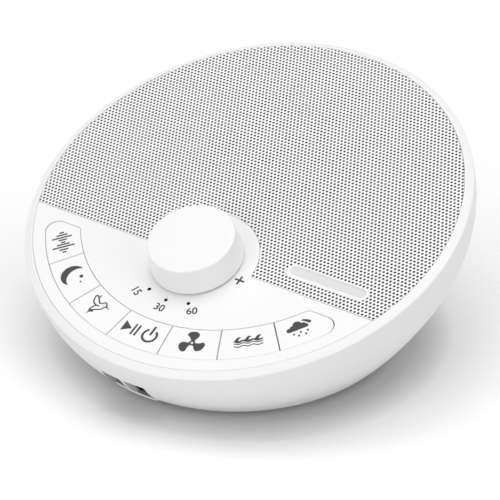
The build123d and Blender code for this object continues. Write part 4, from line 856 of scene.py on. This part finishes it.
# ---- marks on the panel ----
def flat_text(text):
    """Triangles of slanted text, centred on the origin and one unit high."""
    curve = bpy.data.curves.new("text", "FONT")
    curve.body = text
    curve.shear = NUMBER_SLANT
    curve.offset = NUMBER_BOLD
    curve.fill_mode = "FRONT"
    letters = add_object("text", curve)
    bpy.context.view_layer.update()
    mesh = bpy.data.meshes.new_from_object(letters)
    bm = bmesh.new()
    bm.from_mesh(mesh)
    bmesh.ops.remove_doubles(bm, verts=bm.verts, dist=LETTER_TOLERANCE)
    bmesh.ops.triangulate(bm, faces=bm.faces)
    xs = [v.co.x for v in bm.verts]
    ys = [v.co.y for v in bm.verts]
    scale = 1 / (max(ys) - min(ys))
    middle = ((max(xs) + min(xs)) / 2, (max(ys) + min(ys)) / 2)
    corners = [((v.co.x - middle[0]) * scale, (v.co.y - middle[1]) * scale) for v in bm.verts]
    triangles, sides = [], set()
    for face in sorted(bm.faces, key=lambda face: -face.calc_area()):
        a, b, c = (v.index for v in face.verts)
        if sides.isdisjoint(((a, b), (b, c), (c, a))):      # a font's bend may be filled twice
            sides.update(((a, b), (b, c), (c, a)))
            triangles.append((a, b, c))
    bm.free()
    bpy.data.meshes.remove(mesh)
    bpy.data.objects.remove(letters)
    bpy.data.curves.remove(curve)
    return corners, triangles


def print_panel():
    """The three times, turned with their place round the knob, and the signs beside it."""
    for text, x, y in NUMBER_PLACES:
        turn = atan2(x, KNOB_Y - y)
        place = DECK @ Matrix.Translation((x, y, 0.0)) @ Matrix.Rotation(turn, 4, "Z")
        corners, triangles = flat_text(text)
        flat = ([(u * NUMBER_HEIGHT, v * NUMBER_HEIGHT) for u, v in corners], triangles)
        dress(plate("print_" + text, flat, INK_BOTTOM, INK_TOP, place), "print", "housing")
    pen = SIGN_WIDTH / 2
    for name, x, length in SIGN_PLACES:
        half = length / 2
        shapes = [bar(-half, half, -pen, pen)]
        if name == "plus":
            shapes.append(bar(-pen, pen, -half, half))
        place = DECK @ Matrix.Translation((x, SIGN_Y, 0.0))
        dress(plate("print_" + name, fill(shapes), INK_BOTTOM, INK_TOP, place), "print", "housing")


# ---- stage ----
def seen_or_mirrored(nodes, links):
    """1 for rays from the camera, off gloss and through glass."""
    path = nodes.new("ShaderNodeLightPath")
    total = path.outputs["Is Camera Ray"]
    for ray in ("Is Glossy Ray", "Is Transmission Ray"):
        node = nodes.new("ShaderNodeMath")
        node.operation = "MAXIMUM"
        links.new(total, node.inputs[0])
        links.new(path.outputs[ray], node.inputs[1])
        total = node.outputs[0]
    return total


def between(nodes, links, value, low, high, reach=(0.0, 1.0)):
    """A value that goes from low to high, a number or a socket, as another goes through its reach."""
    node = nodes.new("ShaderNodeMapRange")
    node.inputs["From Min"].default_value = reach[0]
    node.inputs["From Max"].default_value = reach[1]
    node.inputs["To Min"].default_value = low
    if isinstance(high, float):
        node.inputs["To Max"].default_value = high
    else:
        links.new(high, node.inputs["To Max"])
    links.new(value, node.inputs["Value"])
    return node.outputs["Result"]


def make_floor():
    """White floor that keeps the object's shadow, with a painted shadow darkening it right under the object, and
    turns into plain white away from it.
    """
    mesh = bpy.data.meshes.new("floor")
    half = FLOOR_SIZE / 2
    corners = [(-half, -half, 0), (half, -half, 0), (half, half, 0), (-half, half, 0)]
    mesh.from_pydata(corners, [], [(0, 1, 2, 3)])
    floor = add_object("floor", mesh)
    material = bpy.data.materials.new("floor")
    material.use_nodes = True
    nodes, links = material.node_tree.nodes, material.node_tree.links
    shader = nodes["Principled BSDF"]
    shader.inputs["Roughness"].default_value = FLOOR_ROUGHNESS
    shader.inputs["Specular IOR Level"].default_value = FLOOR_SPECULAR
    shader.inputs["Emission Color"].default_value = (1.0, 1.0, 1.0, 1.0)
    seen = seen_or_mirrored(nodes, links)
    place = nodes.new("ShaderNodeTexCoord")
    distance = nodes.new("ShaderNodeVectorMath")
    distance.operation = "LENGTH"
    links.new(place.outputs["Object"], distance.inputs[0])
    # painted shadow: the floor the camera sees is darker right under the object
    colour = between(nodes, links, distance.outputs["Value"], FLOOR_PAINTED_SHADOW, FLOOR_COLOUR, PAINTED_SHADOW_REACH)
    glow = between(nodes, links, distance.outputs["Value"], 0.0, FLOOR_GLOW, GLOW_REACH)
    links.new(between(nodes, links, seen, FLOOR_BOUNCE, colour), shader.inputs["Base Color"])
    links.new(between(nodes, links, seen, 0.0, glow), shader.inputs["Emission Strength"])
    mesh.materials.append(material)


def make_world():
    """Plain white where it is seen, and dim as a light on the object."""
    world = bpy.data.worlds.new("studio")
    bpy.context.scene.world = world
    world.use_nodes = True
    nodes, links = world.node_tree.nodes, world.node_tree.links
    background = nodes["Background"]
    background.inputs["Color"].default_value = (1.0, 1.0, 1.0, 1.0)
    strength = between(nodes, links, seen_or_mirrored(nodes, links), WORLD_STRENGTH, 1.0)
    links.new(strength, background.inputs["Strength"])


def make_lamps():
    """Round soft boxes on a dome round the object."""
    for name, azimuth, elevation, power in LAMPS:
        lamp = bpy.data.lights.new(name, "AREA")
        lamp.shape = "DISK"
        lamp.size = LAMP_SIZE
        lamp.energy = power
        holder = add_object(name, lamp)
        x, y = polar(LAMP_DISTANCE * cos(radians(elevation)), radians(azimuth))
        holder.location = (x, y, LAMP_DISTANCE * sin(radians(elevation)))
        holder.rotation_euler = (LAMP_AIM - holder.location).to_track_quat("-Z", "Y").to_euler()


def make_camera():
    """The photo's view."""
    camera = bpy.data.cameras.new("camera")
    camera.lens = CAMERA_LENS
    camera.sensor_width = SENSOR_WIDTH
    camera.clip_start = CAMERA_NEAR
    holder = add_object("camera", camera)
    holder.location = CAMERA_PLACE
    holder.rotation_euler = CAMERA_FORWARD.to_track_quat("-Z", "Y").to_euler()
    bpy.context.scene.camera = holder


# ---- build ----
make_camera()
make_world()
make_lamps()
make_floor()
dress_cad_nodes()
perforated_grille()
dished_badge()
close_fitting_panel()
port_shade_inserts()
port_lip()
print_keys()
print_panel()
bpy.context.scene.view_settings.view_transform = "Standard"
